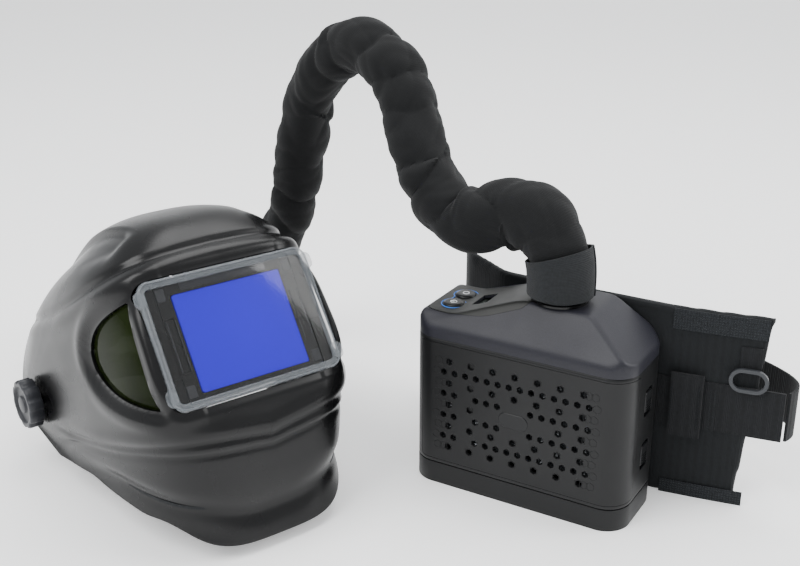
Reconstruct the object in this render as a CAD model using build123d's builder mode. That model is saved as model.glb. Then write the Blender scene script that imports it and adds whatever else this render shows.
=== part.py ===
"""Powered air respirator: a welding helmet with an auto darkening filter, a covered
breathing hose and a belt-mounted blower.

Millimetres. The row's frame: the origin is the centre of the blower's base, +X runs along
the blower's width, -Y is the perforated front of the blower and +Z is up. The helmet is
drawn in a frame of its own, with its origin on the pivot axis, +X to its left-hand side,
-Y forwards and +Z up, and is then stood on its rim beside the blower."""
import os
from math import atan2, cos, hypot, pi, radians, sin, tan

from build123d import *

# ---- driving dimensions: blower -------------------------------------------------------
BLOWER_W, BLOWER_D, CORNER_R = 224.0, 95.0, 25.0
BATTERY_TOP, CASE_TOP = 26.6, 161.0
PANEL_Z, ROOF_Z = 184.0, 206.0
WALL = 2.5
OUTLET = (20.0, 3.0)
SPIGOT_R = 22.0
COVER_W, COVER_H, COVER_T = 200.0, 122.0, 3.0
COVER_Z = (BATTERY_TOP + CASE_TOP) / 2
HEX_ROWS, HEX_PITCH, HEX_FLAT = 9, 11.5, 5.6

# ---- driving dimensions: helmet -------------------------------------------------------
PIVOT = (-401.6, -109.7, 76.0)
HELMET_TURN, HELMET_TILT = 67.63, 34.0
SLICE_BACK, SLICE_START, SIDE_W = 50.0, 24.0, 120.0
SHELL_T = 3.0
# midline of the shell: forwards, up, half width at the front, squareness
SHELL_SLICES = [
    (-5, 122, 112, 2.4),
    (60, 131, 113, 2.5),
    (120, 132, 113, 2.7),
    (178, 120, 112, 3.0),
    (222, 97, 111, 3.6),
    (245, 62, 110, 5.0),
    (254, 30, 109, 7.0),
    (257, -18, 110, 8.0),
    (256, -66, 114, 7.0),
    (246, -100, 115, 5.0),
    (222, -145, 113, 4.2),
    (198, -182, 114, 3.8),
    (190, -204, 126, 3.5),
]
LENS_W, LENS_H, LENS_UP, LENS_FWD = 172.0, 119.0, -16.0, 246.2
FILTER_W, FILTER_H, FILTER_UP = 110.0, 90.0, -18.0
KNOB_R, KNOB_T, STUD_R = 25.0, 15.0, 4.0
HEAD_LONG, HEAD_WIDE, BAND_H = 96.0, 78.0, 24.0
DUCT_W, DUCT_IN, DUCT_OUT = 56.0, 92.0, 106.0
INLET_DROP = 8.0
RATCHET_UP, RATCHET_BACK = -38.0, HEAD_LONG + 2.4

# ---- driving dimensions: hose and belt ------------------------------------------------
HOSE_R, HOSE_WALL, TUBE_R, TUBE_WALL = 25.0, 1.2, 17.0, 2.0
INLET_FACE, INLET_BACK, GRIP_LONG, COLLAR_LONG, TURNING_GAP = 106.5, 110.9, 22.0, 12.0, 0.35
INLET_RUN = 42.0
PAD_T, PAD_TOP, PAD_LOW = 9.0, 202.0, 1.0
STRAP_T, STRAP_LOW, STRAP_TOP = 2.4, 80.0, 130.0

helmet_at = Location(PIVOT) * Location((0, 0, 0), (0, 0, HELMET_TURN))
helmet_at = helmet_at * Location((0, 0, 0), (-HELMET_TILT, 0, 0))
headgear_at = Location(PIVOT) * Location((0, 0, 0), (0, 0, HELMET_TURN))
os.makedirs("parts", exist_ok=True)


def write(piece, label):
    """Name a finished piece and write its STEP file."""
    piece.label = label
    export_step(piece, f"parts/{label}.step")


# ---- the shell's surface --------------------------------------------------------------
def slice_plane(forwards, up):
    """A half plane through the slicing axis and one point of the midline."""
    angle = atan2(up, forwards + SLICE_BACK)
    return Plane(origin=(0, SLICE_BACK, 0), x_dir=(1, 0, 0), z_dir=(0, -sin(angle), -cos(angle)))


def arch(forwards, up, half_width, squareness, inset):
    """Points round one slice of the shell, from one side to the other."""
    reach = hypot(forwards + SLICE_BACK, up) - inset
    start = atan2(SLICE_START, reach)
    steps = 9
    side = []
    for i in range(steps + 1):
        turn = start + (pi / 2 - start) * i / steps
        scale = (cos(turn) ** squareness + sin(turn) ** squareness) ** (-1 / squareness)
        out, along = scale * cos(turn), scale * sin(turn)
        width = (half_width - inset) * along + (SIDE_W - inset) * (1 - along)
        side.append((out * width, along * reach))
    return side + [(-x, r) for x, r in reversed(side[:-1])]


def shell_band(outer_inset, inner_inset):
    """The shell, or a layer under it, lofted through its slices."""
    with BuildPart() as band:
        for row in SHELL_SLICES:
            with BuildSketch(slice_plane(row[0], row[1])):
                with BuildLine():
                    outer = Spline(*arch(*row, outer_inset))
                    inner = Spline(*arch(*row, inner_inset))
                    Line(outer @ 0, inner @ 0)
                    Line(outer @ 1, inner @ 1)
                make_face()
        loft()
    return band.part


def shell_space(inset):
    """The space inside the shell as one solid."""
    with BuildPart() as space:
        for row in SHELL_SLICES:
            with BuildSketch(slice_plane(row[0], row[1])):
                with BuildLine():
                    arc = Spline(*arch(*row, inset))
                    Line(arc @ 0, arc @ 1)
                make_face()
        loft()
    return space.part


def side_outline(grow):
    """D-shaped outline of a side window, seen from the side: forwards is -Y."""
    middle = Vector(-198, -16)
    corners = [(-236, -68), (-233, 33), (-190, 30), (-164, 21), (-151, 2), (-164, -20), (-194, -44)]
    points = []
    for corner in corners:
        away = Vector(*corner) - middle
        points.append(middle + away * (1 + grow / away.length))
    with BuildSketch(Plane.YZ) as outline:
        with BuildLine():
            Polyline(points[0], points[1], points[2])
            Spline(*points[2:], points[0])
        make_face()
    return outline.sketch


def front_plane(forwards):
    """A plane facing forwards, with its sketch X to the side and sketch Y up."""
    return Plane(origin=(0, -forwards, 0), x_dir=(1, 0, 0), z_dir=(0, -1, 0))


def on_helmet(plane):
    """A plane of the helmet's own frame, moved to where the helmet stands."""
    return Plane(helmet_at * plane.location)


# ---- helmet: shell and windows --------------------------------------------------------
with BuildPart() as helmet_shell:
    add(helmet_at * shell_band(0, SHELL_T))
    with BuildSketch(on_helmet(Plane.YZ)):
        with BuildLine():
            Spline((-230, -262), (-191, -202), (-177, -174), (-140, -141), (-80, -96), (-20, -60), (60, -22))
            Polyline((60, -22), (60, -300), (-230, -300), (-230, -262))
        make_face()
    extrude(amount=170, both=True, mode=Mode.SUBTRACT)
    with BuildSketch(on_helmet(front_plane(300))):
        with Locations((0, LENS_UP)):
            RectangleRounded(LENS_W + 2, LENS_H + 2, 13)
    extrude(amount=-110, mode=Mode.SUBTRACT)
    extrude(helmet_at * side_outline(0), amount=170, both=True, mode=Mode.SUBTRACT)
    with BuildSketch(on_helmet(Plane.YZ)):
        Circle(STUD_R + 0.08)
    extrude(amount=170, both=True, mode=Mode.SUBTRACT)
write(helmet_shell.part, "helmet_shell")

lens_layer = shell_band(SHELL_T + 0.4, SHELL_T + 2.4)
for side, name in ((1, "side_window_left"), (-1, "side_window_right")):
    with BuildPart() as side_window:
        add(helmet_at * lens_layer)
        extrude(helmet_at * side_outline(4), amount=side * 170, mode=Mode.INTERSECT)
        with BuildSketch(on_helmet(front_plane(300))):
            with Locations((0, LENS_UP)):
                Rectangle(LENS_W + 8, LENS_H + 60)
        extrude(amount=-110, mode=Mode.SUBTRACT)
    write(side_window.part, name)

with BuildPart() as lens_frame:
    with BuildSketch(front_plane(LENS_FWD - 12.2)):
        with Locations((0, LENS_UP)):
            RectangleRounded(166, 117, 13)
            RectangleRounded(139, 114, 4, mode=Mode.SUBTRACT)
    extrude(amount=12)
write(helmet_at * lens_frame.part, "lens_frame")

with BuildPart() as cover_lens:
    with BuildSketch(front_plane(LENS_FWD)):
        with Locations((0, LENS_UP)):
            RectangleRounded(LENS_W, LENS_H, 12)
    extrude(amount=2.5)
    with BuildSketch(front_plane(LENS_FWD + 2.5)):
        with Locations((0, LENS_UP)):
            RectangleRounded(LENS_W, LENS_H, 12)
            RectangleRounded(LENS_W - 18, LENS_H - 16, 12, mode=Mode.SUBTRACT)
    extrude(amount=2)
write(helmet_at * cover_lens.part, "cover_lens")

with BuildPart() as filter_cartridge:
    with BuildSketch(front_plane(225)):
        with Locations((0, FILTER_UP + 3)):
            RectangleRounded(137, 112, 5)
        with Locations((0, FILTER_UP)):
            Rectangle(FILTER_W - 6, FILTER_H - 6, mode=Mode.SUBTRACT)
    extrude(amount=20)
    with BuildSketch(front_plane(245)):
        with Locations((0, FILTER_UP)):
            Rectangle(FILTER_W + 0.6, FILTER_H + 0.6)
        with Locations((0, FILTER_UP + 52.5)):
            Rectangle(88, 10)
        with Locations((-62, FILTER_UP)):
            Rectangle(7, 50)
    extrude(amount=-5, mode=Mode.SUBTRACT)
write(helmet_at * filter_cartridge.part, "filter_cartridge")

with BuildPart() as darkening_glass:
    with BuildSketch(front_plane(240.2)):
        with Locations((0, FILTER_UP)):
            Rectangle(FILTER_W, FILTER_H)
    extrude(amount=4.2)
write(helmet_at * darkening_glass.part, "darkening_glass")

with BuildPart() as solar_cell:
    with BuildSketch(front_plane(240.2)):
        with Locations((0, FILTER_UP + 52.5)):
            Rectangle(87.4, 9.4)
    extrude(amount=4)
    with BuildSketch(front_plane(244.2)):
        with Locations((0, FILTER_UP + 52.5)):
            Circle(2.6)
    extrude(amount=0.6)
write(helmet_at * solar_cell.part, "solar_cell")

with BuildPart() as filter_battery:
    with BuildSketch(front_plane(240.2)):
        with Locations((-62, FILTER_UP)):
            Rectangle(6.4, 49.4)
    extrude(amount=4)
write(helmet_at * filter_battery.part, "filter_battery_tray")

with BuildPart() as inner_lens:
    with BuildSketch(front_plane(222.8)):
        with Locations((0, FILTER_UP)):
            RectangleRounded(118, 98, 4)
    extrude(amount=2)
write(helmet_at * inner_lens.part, "inner_cover_lens")

with BuildPart() as face_seal:
    add(helmet_at * shell_space(SHELL_T + 1.0))
    rim_slope = radians(HELMET_TILT)
    seal_plane = Plane(origin=(0, -85, -84), x_dir=(1, 0, 0), z_dir=(0, -sin(rim_slope), cos(rim_slope)))
    with BuildSketch(on_helmet(seal_plane)):
        Rectangle(260, 330)
    extrude(amount=3, mode=Mode.INTERSECT)
    with BuildSketch(on_helmet(seal_plane)):
        with Locations((0, 40)):
            Ellipse(104, 118)
    extrude(amount=40, both=True, mode=Mode.SUBTRACT)
write(face_seal.part, "face_seal")

# ---- helmet: pivots -------------------------------------------------------------------
for side, name in ((1, "left"), (-1, "right")):
    with BuildPart() as pivot_knob:
        with BuildSketch(Plane.YZ.offset(side * (SIDE_W + 1.5))):
            Circle(KNOB_R)
            with PolarLocations(KNOB_R + 1.5, 10):
                Circle(3.4, mode=Mode.SUBTRACT)
            Circle(STUD_R + 0.08, mode=Mode.SUBTRACT)
        extrude(amount=side * KNOB_T)
        with BuildSketch(Plane.YZ.offset(side * (SIDE_W + 1.5 + KNOB_T))):
            Circle(KNOB_R - 6)
        extrude(amount=-side * 2, mode=Mode.SUBTRACT)
    write(helmet_at * pivot_knob.part, f"pivot_knob_{name}")

with BuildPart() as pivot_studs:
    for side in (1, -1):
        with BuildSketch(Plane.YZ.offset(side * (HEAD_WIDE + 6))):
            Circle(STUD_R)
        extrude(amount=side * (SIDE_W + KNOB_T - 2.5 - HEAD_WIDE - 6))
write(headgear_at * pivot_studs.part, "pivot_studs")

with BuildPart() as friction_washers:
    for side in (1, -1):
        with BuildSketch(Plane.YZ.offset(side * (HEAD_WIDE + 12))):
            Circle(14)
            Circle(STUD_R, mode=Mode.SUBTRACT)
        extrude(amount=side * 2)
write(headgear_at * friction_washers.part, "friction_washers")

with BuildPart() as tilt_plates:
    for side in (1, -1):
        with BuildSketch(Plane.YZ.offset(side * (HEAD_WIDE + 3))):
            SlotCenterToCenter(34, 22)
            Circle(STUD_R, mode=Mode.SUBTRACT)
        extrude(amount=side * 4)
write(headgear_at * tilt_plates.part, "tilt_plates")

# ---- helmet: headgear -----------------------------------------------------------------
def head_ring(gap, thickness, low, high):
    """An oval ring round the head, a gap outside the head's own outline."""
    with BuildPart() as ring:
        with BuildSketch(Plane.XY.offset(low)):
            Ellipse(HEAD_WIDE + gap + thickness, HEAD_LONG + gap + thickness)
            Ellipse(HEAD_WIDE + gap, HEAD_LONG + gap, mode=Mode.SUBTRACT)
        extrude(amount=high - low)
    return ring.part


with BuildPart() as headband:
    add(head_ring(0, 2.0, -BAND_H / 2, BAND_H / 2))
    with Locations((0, -HEAD_LONG, 0)):
        Box(300, 2 * HEAD_LONG + 60, 80, mode=Mode.INTERSECT)
write(headgear_at * headband.part, "headband")

with BuildPart() as rear_band:
    add(head_ring(0, 2.0, RATCHET_UP - BAND_H / 2, RATCHET_UP + BAND_H / 2))
    with Locations((0, HEAD_LONG + 31, RATCHET_UP)):
        Box(300, 2 * HEAD_LONG, 80, mode=Mode.INTERSECT)
write(headgear_at * rear_band.part, "rear_band")

with BuildPart() as sweatband:
    add(head_ring(-4.3, 4.0, -BAND_H / 2 + 1, BAND_H / 2 - 1))
    with Locations((0, -HEAD_LONG - 30, 0)):
        Box(300, 2 * HEAD_LONG, 80, mode=Mode.INTERSECT)
write(headgear_at * sweatband.part, "sweatband")

with BuildPart() as crown_strap:
    with BuildSketch(Plane.XZ.offset(9)):
        with Locations((0, 14)):
            Ellipse(HEAD_WIDE, 74)
            Ellipse(HEAD_WIDE - 2, 72, mode=Mode.SUBTRACT)
        with Locations((0, 74)):
            Rectangle(200, 120, mode=Mode.INTERSECT)
    extrude(amount=-18)
write(headgear_at * crown_strap.part, "crown_strap")

with BuildPart() as ratchet_housing:
    with BuildSketch(Plane(origin=(0, RATCHET_BACK, RATCHET_UP), x_dir=(-1, 0, 0), z_dir=(0, 1, 0))):
        SlotOverall(78, 24)
    extrude(amount=9)
    with BuildSketch(Plane(origin=(0, RATCHET_BACK, RATCHET_UP), x_dir=(-1, 0, 0), z_dir=(0, 1, 0))):
        Circle(3.05)
    extrude(amount=9, mode=Mode.SUBTRACT)
write(headgear_at * ratchet_housing.part, "ratchet_housing")

with BuildPart() as ratchet_knob:
    with BuildSketch(Plane(origin=(0, RATCHET_BACK + 9.4, RATCHET_UP), x_dir=(-1, 0, 0), z_dir=(0, 1, 0))):
        Circle(17)
        with PolarLocations(18, 12):
            Circle(2.4, mode=Mode.SUBTRACT)
    extrude(amount=12)
    with BuildSketch(Plane(origin=(0, RATCHET_BACK + 9.4, RATCHET_UP), x_dir=(-1, 0, 0), z_dir=(0, 1, 0))):
        Circle(3.0)
    extrude(amount=-8)
write(headgear_at * ratchet_knob.part, "ratchet_knob")

with BuildPart() as nape_pad:
    add(head_ring(-6.4, 6.0, RATCHET_UP - 10, RATCHET_UP + 10))
    with Locations((0, HEAD_LONG, RATCHET_UP)):
        Box(70, 60, 40, mode=Mode.INTERSECT)
write(headgear_at * nape_pad.part, "nape_pad")


def duct_sector(inner, outer, start, stop, width):
    """A curved channel over the crown: a ring sector about the pivot axis."""
    with BuildPart() as sector:
        with BuildSketch(Plane.YZ.offset(-width / 2)):
            with BuildLine():
                low = CenterArc((0, 0), inner, start, stop - start)
                high = CenterArc((0, 0), outer, start, stop - start)
                Line(low @ 0, high @ 0)
                Line(low @ 1, high @ 1)
            make_face()
        extrude(amount=width)
    return sector.part


with BuildPart() as air_duct:
    add(duct_sector(DUCT_IN, DUCT_OUT, 0, 152, DUCT_W))
    add(duct_sector(DUCT_IN + 1.6, DUCT_OUT - 1.6, 1.6, 160, DUCT_W - 3.2), mode=Mode.SUBTRACT)
    with BuildSketch(Plane(origin=(0, 90, INLET_DROP), x_dir=(-1, 0, 0), z_dir=(0, 1, 0))):
        Circle(20)
    extrude(amount=12.5, mode=Mode.SUBTRACT)
write(headgear_at * air_duct.part, "air_duct")

with BuildPart() as duct_nozzle:
    with BuildSketch(Plane.YZ.offset(-DUCT_W / 2)):
        with BuildLine():
            Polyline((-81.4, 42.8), (-93.8, 49.4), (-134, 54), (-136, 42), (-81.4, 42.8))
        make_face()
    extrude(amount=DUCT_W)
    with BuildSketch(Plane.YZ.offset(-DUCT_W / 2 + 2)):
        with BuildLine():
            Polyline((-78, 44.9), (-93.2, 47.6), (-137, 52.4), (-138, 43.7), (-78, 44.9))
        make_face()
    extrude(amount=DUCT_W - 4, mode=Mode.SUBTRACT)
write(headgear_at * duct_nozzle.part, "duct_nozzle")

INLET_AT = Plane(origin=(0, INLET_FACE, INLET_DROP), x_dir=(-1, 0, 0), z_dir=(0, 1, 0))
with BuildPart() as inlet_spigot:
    with BuildSketch(INLET_AT):
        Circle(24)
        Circle(17, mode=Mode.SUBTRACT)
    extrude(amount=4)
    with BuildSketch(INLET_AT.offset(4)):
        Circle(19)
        Circle(17, mode=Mode.SUBTRACT)
    extrude(amount=16)
write(headgear_at * inlet_spigot.part, "inlet_spigot")


def hose_end(plane, length):
    """A turning hose connector: a grooved grip with a bore over its spigot."""
    with BuildPart() as connector:
        with BuildSketch(plane):
            Circle(24)
            Circle(19.06, mode=Mode.SUBTRACT)
        extrude(amount=length)
        for step in (0.3, 0.55):
            with BuildSketch(plane.offset(length * step)):
                Circle(24.5)
                Circle(22.6, mode=Mode.SUBTRACT)
            extrude(amount=1.6, mode=Mode.SUBTRACT)
    return connector.part


write(headgear_at * hose_end(INLET_AT.offset(INLET_BACK - INLET_FACE), GRIP_LONG), "helmet_hose_connector")

# ---- hose -----------------------------------------------------------------------------
# the route from the helmet's inlet, round behind the helmet, over the arch to the blower
HOSE_BACK = INLET_BACK + GRIP_LONG + TURNING_GAP
HOSE_START = (headgear_at * Location((0, HOSE_BACK, INLET_DROP))).position
HOSE_SECOND = (headgear_at * Location((0, HOSE_BACK + INLET_RUN, INLET_DROP))).position
HOSE_ROUTE = [
    HOSE_START,
    HOSE_SECOND,
    Vector(-628, 6, 58),
    Vector(-634, 72, 40),
    Vector(-590, 126, 31),
    Vector(-525, 143, 36),
    Vector(-458, 134, 72),
    Vector(-400, 120, 132),
    Vector(-360, 110, 205),
    Vector(-338, 98, 290),
    Vector(-311, 85, 364),
    Vector(-248, 75, 417),
    Vector(-189, 60, 385),
    Vector(-158, 43, 328),
    Vector(-126, 27, 282),
    Vector(-86, 15, 250),
    Vector(-36, 15, 284),
    Vector(OUTLET[0], OUTLET[1], 268),
    Vector(OUTLET[0], OUTLET[1], ROOF_Z + 2.4 + COLLAR_LONG + TURNING_GAP),
]


def corner_radii(points):
    """One radius for each corner of a route: 0.45 of the shorter run over tan(half turn)."""
    radii = []
    for before, here, after in zip(points, points[1:], points[2:]):
        turn = radians((here - before).get_angle(after - here))
        run = min((here - before).length, (after - here).length)
        radii.append(0.45 * run / tan(turn / 2))
    return radii


def hose_tube(points, outer, wall):
    """A hollow tube of straight runs and tangent arcs."""
    with BuildPart() as tube:
        with BuildLine() as path:
            FilletPolyline(*points, radius=corner_radii(points))
        with BuildSketch(Plane(origin=points[0], z_dir=points[1] - points[0])):
            Circle(outer)
            Circle(outer - wall, mode=Mode.SUBTRACT)
        sweep(path=path.wires()[0])
    section = pi * (outer**2 - (outer - wall) ** 2)
    length = path.wires()[0].length
    print(f"tube r{outer}: length {length:.0f}, volume ratio {tube.part.volume / (section * length):.4f}")
    return tube.part


print("hose radii", [round(r) for r in corner_radii(HOSE_ROUTE)])
write(hose_tube(HOSE_ROUTE, HOSE_R, HOSE_WALL), "hose_cover")
write(hose_tube(HOSE_ROUTE, TUBE_R, TUBE_WALL), "breathing_tube")

# ---- blower: case, base and covers ----------------------------------------------------
def plan(inset):
    """The blower's rounded plan, drawn in the sketch that is open."""
    return RectangleRounded(BLOWER_W - 2 * inset, BLOWER_D - 2 * inset, CORNER_R - inset)


FRONT_Y = -BLOWER_D / 2
with BuildPart() as main_case:
    with BuildSketch(Plane.XY.offset(BATTERY_TOP + 0.4)):
        plan(0)
    extrude(amount=CASE_TOP - BATTERY_TOP - 0.4)
    with BuildSketch(Plane.XY.offset(BATTERY_TOP + 0.4 + WALL)):
        plan(WALL)
    extrude(amount=200, mode=Mode.SUBTRACT)
    with BuildSketch(Plane.XZ.offset(-FRONT_Y - 6)):
        with Locations((0, COVER_Z)):
            Rectangle(COVER_W - 14, COVER_H - 14)
    extrude(amount=20, mode=Mode.SUBTRACT)
    with BuildSketch(Plane.XZ.offset(-FRONT_Y - COVER_T - 0.3)):
        with Locations((0, COVER_Z)):
            RectangleRounded(COVER_W + 1, COVER_H + 1, 8)
            Rectangle(COVER_W - 14, COVER_H - 14, mode=Mode.SUBTRACT)
    extrude(amount=20, mode=Mode.SUBTRACT)
    with Locations((0, FRONT_Y + COVER_T + 0.3 + 1.25, COVER_Z)):
        Box(COVER_W + 6, 2.5, COVER_H + 6)
        Box(COVER_W - 14, 8, COVER_H - 14, mode=Mode.SUBTRACT)
    for z in (66, 122):
        with Locations((BLOWER_W / 2, 6, z)):
            Box(12, 18.6, 29, mode=Mode.SUBTRACT)
    with BuildSketch(Plane.XZ.offset(-BLOWER_D / 2 - 1)):
        with Locations((0, COVER_Z + 8)):
            with GridLocations(60, 40, 2, 2):
                Circle(2.1)
    extrude(amount=8, mode=Mode.SUBTRACT)
write(main_case.part, "main_case")

with BuildPart() as filter_cover:
    with BuildSketch(Plane.XZ.offset(-FRONT_Y - COVER_T)):
        with Locations((0, COVER_Z)):
            RectangleRounded(COVER_W, COVER_H, 8)
    extrude(amount=COVER_T)
    with BuildSketch(Plane.XZ.offset(-FRONT_Y)):
        for row in range(HEX_ROWS):
            shift = 0 if row % 2 else HEX_PITCH
            height = COVER_Z + (row - (HEX_ROWS - 1) / 2) * HEX_PITCH
            count = 7 if row % 2 == 0 else 14
            step = 2 * HEX_PITCH if row % 2 == 0 else HEX_PITCH
            for i in range(count):
                along = (i - (count - 1) / 2) * step
                if hypot(along / 2.2, height - COVER_Z) > 12:
                    with Locations((along, height)):
                        RegularPolygon(HEX_FLAT / 2, 6, major_radius=False)
    extrude(amount=-COVER_T, mode=Mode.SUBTRACT)
write(filter_cover.part, "filter_cover")

with BuildPart() as spark_screen:
    with BuildSketch(Plane.XZ.offset(-FRONT_Y - 9)):
        with Locations((0, COVER_Z)):
            Rectangle(176, 98)
            with GridLocations(14, 12, 12, 8):
                Rectangle(11, 9, mode=Mode.SUBTRACT)
    extrude(amount=1)
write(spark_screen.part, "spark_screen")

with BuildPart() as prefilter:
    with BuildSketch(Plane.XZ.offset(-FRONT_Y - 14)):
        with Locations((0, COVER_Z)):
            Rectangle(178, 100)
    extrude(amount=4.6)
write(prefilter.part, "prefilter")

with BuildPart() as particle_filter:
    with BuildSketch(Plane.XZ.offset(-FRONT_Y - 38)):
        with Locations((0, COVER_Z)):
            Rectangle(178, 100)
    extrude(amount=23.6)
write(particle_filter.part, "particle_filter")

# ---- blower: fan ----------------------------------------------------------------------
FAN_X, FAN_Z, FAN_Y = 30.0, 92.0, -4.0
FAN_AXIS = Plane(origin=(FAN_X, FAN_Y, FAN_Z), x_dir=(1, 0, 0), z_dir=(0, 1, 0))
with BuildPart() as fan_scroll:
    with BuildSketch(FAN_AXIS):
        Circle(46)
        Circle(43.5, mode=Mode.SUBTRACT)
    extrude(amount=30)
    with BuildSketch(FAN_AXIS.offset(30)):
        Circle(46)
    extrude(amount=2)
    with BuildSketch(FAN_AXIS.offset(30)):
        Circle(12)
    extrude(amount=3, mode=Mode.SUBTRACT)
write(fan_scroll.part, "fan_scroll")

with BuildPart() as impeller:
    with BuildSketch(FAN_AXIS.offset(24)):
        Circle(38)
    extrude(amount=2)
    with BuildSketch(FAN_AXIS.offset(4)):
        with PolarLocations(32, 24):
            Rectangle(9, 1.4, rotation=40)
    extrude(amount=20.5)
    with BuildSketch(FAN_AXIS.offset(6)):
        Circle(8)
    extrude(amount=20)
    with BuildSketch(FAN_AXIS.offset(26)):
        Circle(2.0)
    extrude(amount=12)
write(impeller.part, "impeller")

with BuildPart() as fan_motor:
    with BuildSketch(FAN_AXIS.offset(30.4)):
        Circle(11.6)
        Circle(2.05, mode=Mode.SUBTRACT)
    extrude(amount=12)
write(fan_motor.part, "fan_motor")

with BuildPart() as circuit_board:
    with Locations((-72, 20, 158)):
        Box(52, 44, 1.6)
write(circuit_board.part, "circuit_board")

# ---- blower: top cover and controls ---------------------------------------------------
def roof(inset, low, panel_z, roof_z):
    """The faceted lid: a skirt, a low plateau for the controls and a ridge for the outlet."""
    with BuildPart() as body:
        with BuildSketch(Plane.XY.offset(low)):
            plan(inset)
        extrude(amount=9)
        with BuildSketch(Plane.XY.offset(low + 9)):
            plan(inset)
        with BuildSketch(Plane.XY.offset(panel_z)):
            with Locations((-74, 2)):
                RectangleRounded(62 - inset, 76 - 2 * inset, 12)
        loft()
        with BuildSketch(Plane.XY.offset(low + 9)):
            plan(inset)
        with BuildSketch(Plane.XY.offset(roof_z)):
            with Locations((26, 10)):
                RectangleRounded(70 - 2 * inset, 60 - 2 * inset, 12)
        loft()
    return body.part


with BuildPart() as top_cover:
    add(roof(0, CASE_TOP + 0.3, PANEL_Z, ROOF_Z))
    add(roof(WALL, CASE_TOP - WALL, PANEL_Z - WALL, ROOF_Z - WALL), mode=Mode.SUBTRACT)
    with BuildSketch(Plane.XY.offset(ROOF_Z + 20)):
        with Locations(OUTLET):
            Circle(SPIGOT_R - 3)
    extrude(amount=-60, mode=Mode.SUBTRACT)
    with BuildSketch(Plane.XY.offset(PANEL_Z + 1)):
        with Locations((-84, -12), (-84, 14)):
            Circle(7.3)
    extrude(amount=-8, mode=Mode.SUBTRACT)
    with BuildSketch(Plane.XY.offset(PANEL_Z + 1)):
        with Locations((-57, 2)):
            Rectangle(14.6, 26.6)
    extrude(amount=-2.5, mode=Mode.SUBTRACT)
write(top_cover.part, "top_cover")

with BuildPart() as gaskets:
    with BuildSketch(Plane.XY.offset(CASE_TOP - 2)):
        plan(WALL + 0.2)
    extrude(amount=1.5)
    with BuildSketch(Plane.XY.offset(CASE_TOP - 2)):
        plan(WALL + 2.4)
    extrude(amount=1.5, mode=Mode.SUBTRACT)
    with BuildSketch(Plane.XZ.offset(-FRONT_Y - 40.4)):
        with Locations((0, COVER_Z)):
            Rectangle(178, 100)
            Rectangle(166, 88, mode=Mode.SUBTRACT)
    extrude(amount=2.2)
write(gaskets.part, "gaskets")

for name, y in (("power_button", -12), ("speed_button", 14)):
    with BuildPart() as button:
        with BuildSketch(Plane.XY.offset(PANEL_Z - 3)):
            with Locations((-84, y)):
                Circle(7)
        extrude(amount=4)
    write(button.part, name)

with BuildPart() as status_display:
    with BuildSketch(Plane.XY.offset(PANEL_Z - 1.3)):
        with Locations((-57, 2)):
            Rectangle(14, 26)
    extrude(amount=1.2)
write(status_display.part, "status_display")

with BuildPart() as outlet_spigot:
    with BuildSketch(Plane.XY.offset(ROOF_Z + 0.1)):
        with Locations(OUTLET):
            Circle(27)
            Circle(17, mode=Mode.SUBTRACT)
    extrude(amount=2)
    with BuildSketch(Plane.XY.offset(ROOF_Z + 2.1)):
        with Locations(OUTLET):
            Circle(19)
            Circle(17, mode=Mode.SUBTRACT)
    extrude(amount=11)
write(outlet_spigot.part, "outlet_spigot")

CONNECTOR_AT = Plane.XY.offset(ROOF_Z + 2.4).move(Location((OUTLET[0], OUTLET[1], 0)))
write(hose_end(CONNECTOR_AT, COLLAR_LONG), "blower_hose_connector")

# ---- blower: battery and latches ------------------------------------------------------
with BuildPart() as battery_case:
    with BuildSketch(Plane.XY):
        plan(0)
    extrude(amount=BATTERY_TOP)
    chamfer(battery_case.edges().group_by(Axis.Z)[0], 1.5)
    with BuildSketch(Plane.XY.offset(WALL)):
        plan(WALL)
    extrude(amount=BATTERY_TOP - 2 * WALL, mode=Mode.SUBTRACT)
write(battery_case.part, "battery_case")

with BuildPart() as battery_cells:
    with BuildSketch(Plane.YZ.offset(-68)):
        with Locations((-20, 13.2), (0, 13.2), (20, 13.2)):
            Circle(9)
    extrude(amount=65)
    with BuildSketch(Plane.YZ.offset(2)):
        with Locations((-20, 13.2), (0, 13.2), (20, 13.2)):
            Circle(9)
    extrude(amount=65)
write(battery_cells.part, "battery_cells")

for name, z in (("battery_latch", 66), ("filter_latch", 122)):
    with BuildPart() as latch:
        with Locations((BLOWER_W / 2 - 1.2, 6, z)):
            Box(3, 18, 22)
        with Locations((BLOWER_W / 2 + 0.5, 6, z)):
            Box(2, 14, 4)
    write(latch.part, name)

with BuildPart() as case_screws:
    with BuildSketch(Plane.XZ.offset(-BLOWER_D / 2 - 1.2)):
        with Locations((0, COVER_Z + 8)):
            with GridLocations(60, 40, 2, 2):
                Circle(3.6)
    extrude(amount=1.2)
    with BuildSketch(Plane.XZ.offset(-BLOWER_D / 2)):
        with Locations((0, COVER_Z + 8)):
            with GridLocations(60, 40, 2, 2):
                Circle(2.0)
    extrude(amount=6)
write(case_screws.part, "case_screws")

# ---- belt -----------------------------------------------------------------------------
PAD_Y = BLOWER_D / 2 + 4.0


def pad_line(y):
    """Plan line of the belt, at a distance behind the blower: flat, then curving back."""
    return [(-150, y + 92), (-118, y + 34), (-62, y), (112, y), (206, y + 16)]


with BuildPart() as belt_bracket:
    with BuildSketch(Plane.XZ.offset(-BLOWER_D / 2 - 3.6)):
        with Locations((0, COVER_Z + 8)):
            RectangleRounded(90, 90, 6)
            with GridLocations(60, 40, 2, 2):
                Circle(4.5, mode=Mode.SUBTRACT)
    extrude(amount=3.4)
write(belt_bracket.part, "belt_bracket")


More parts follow.
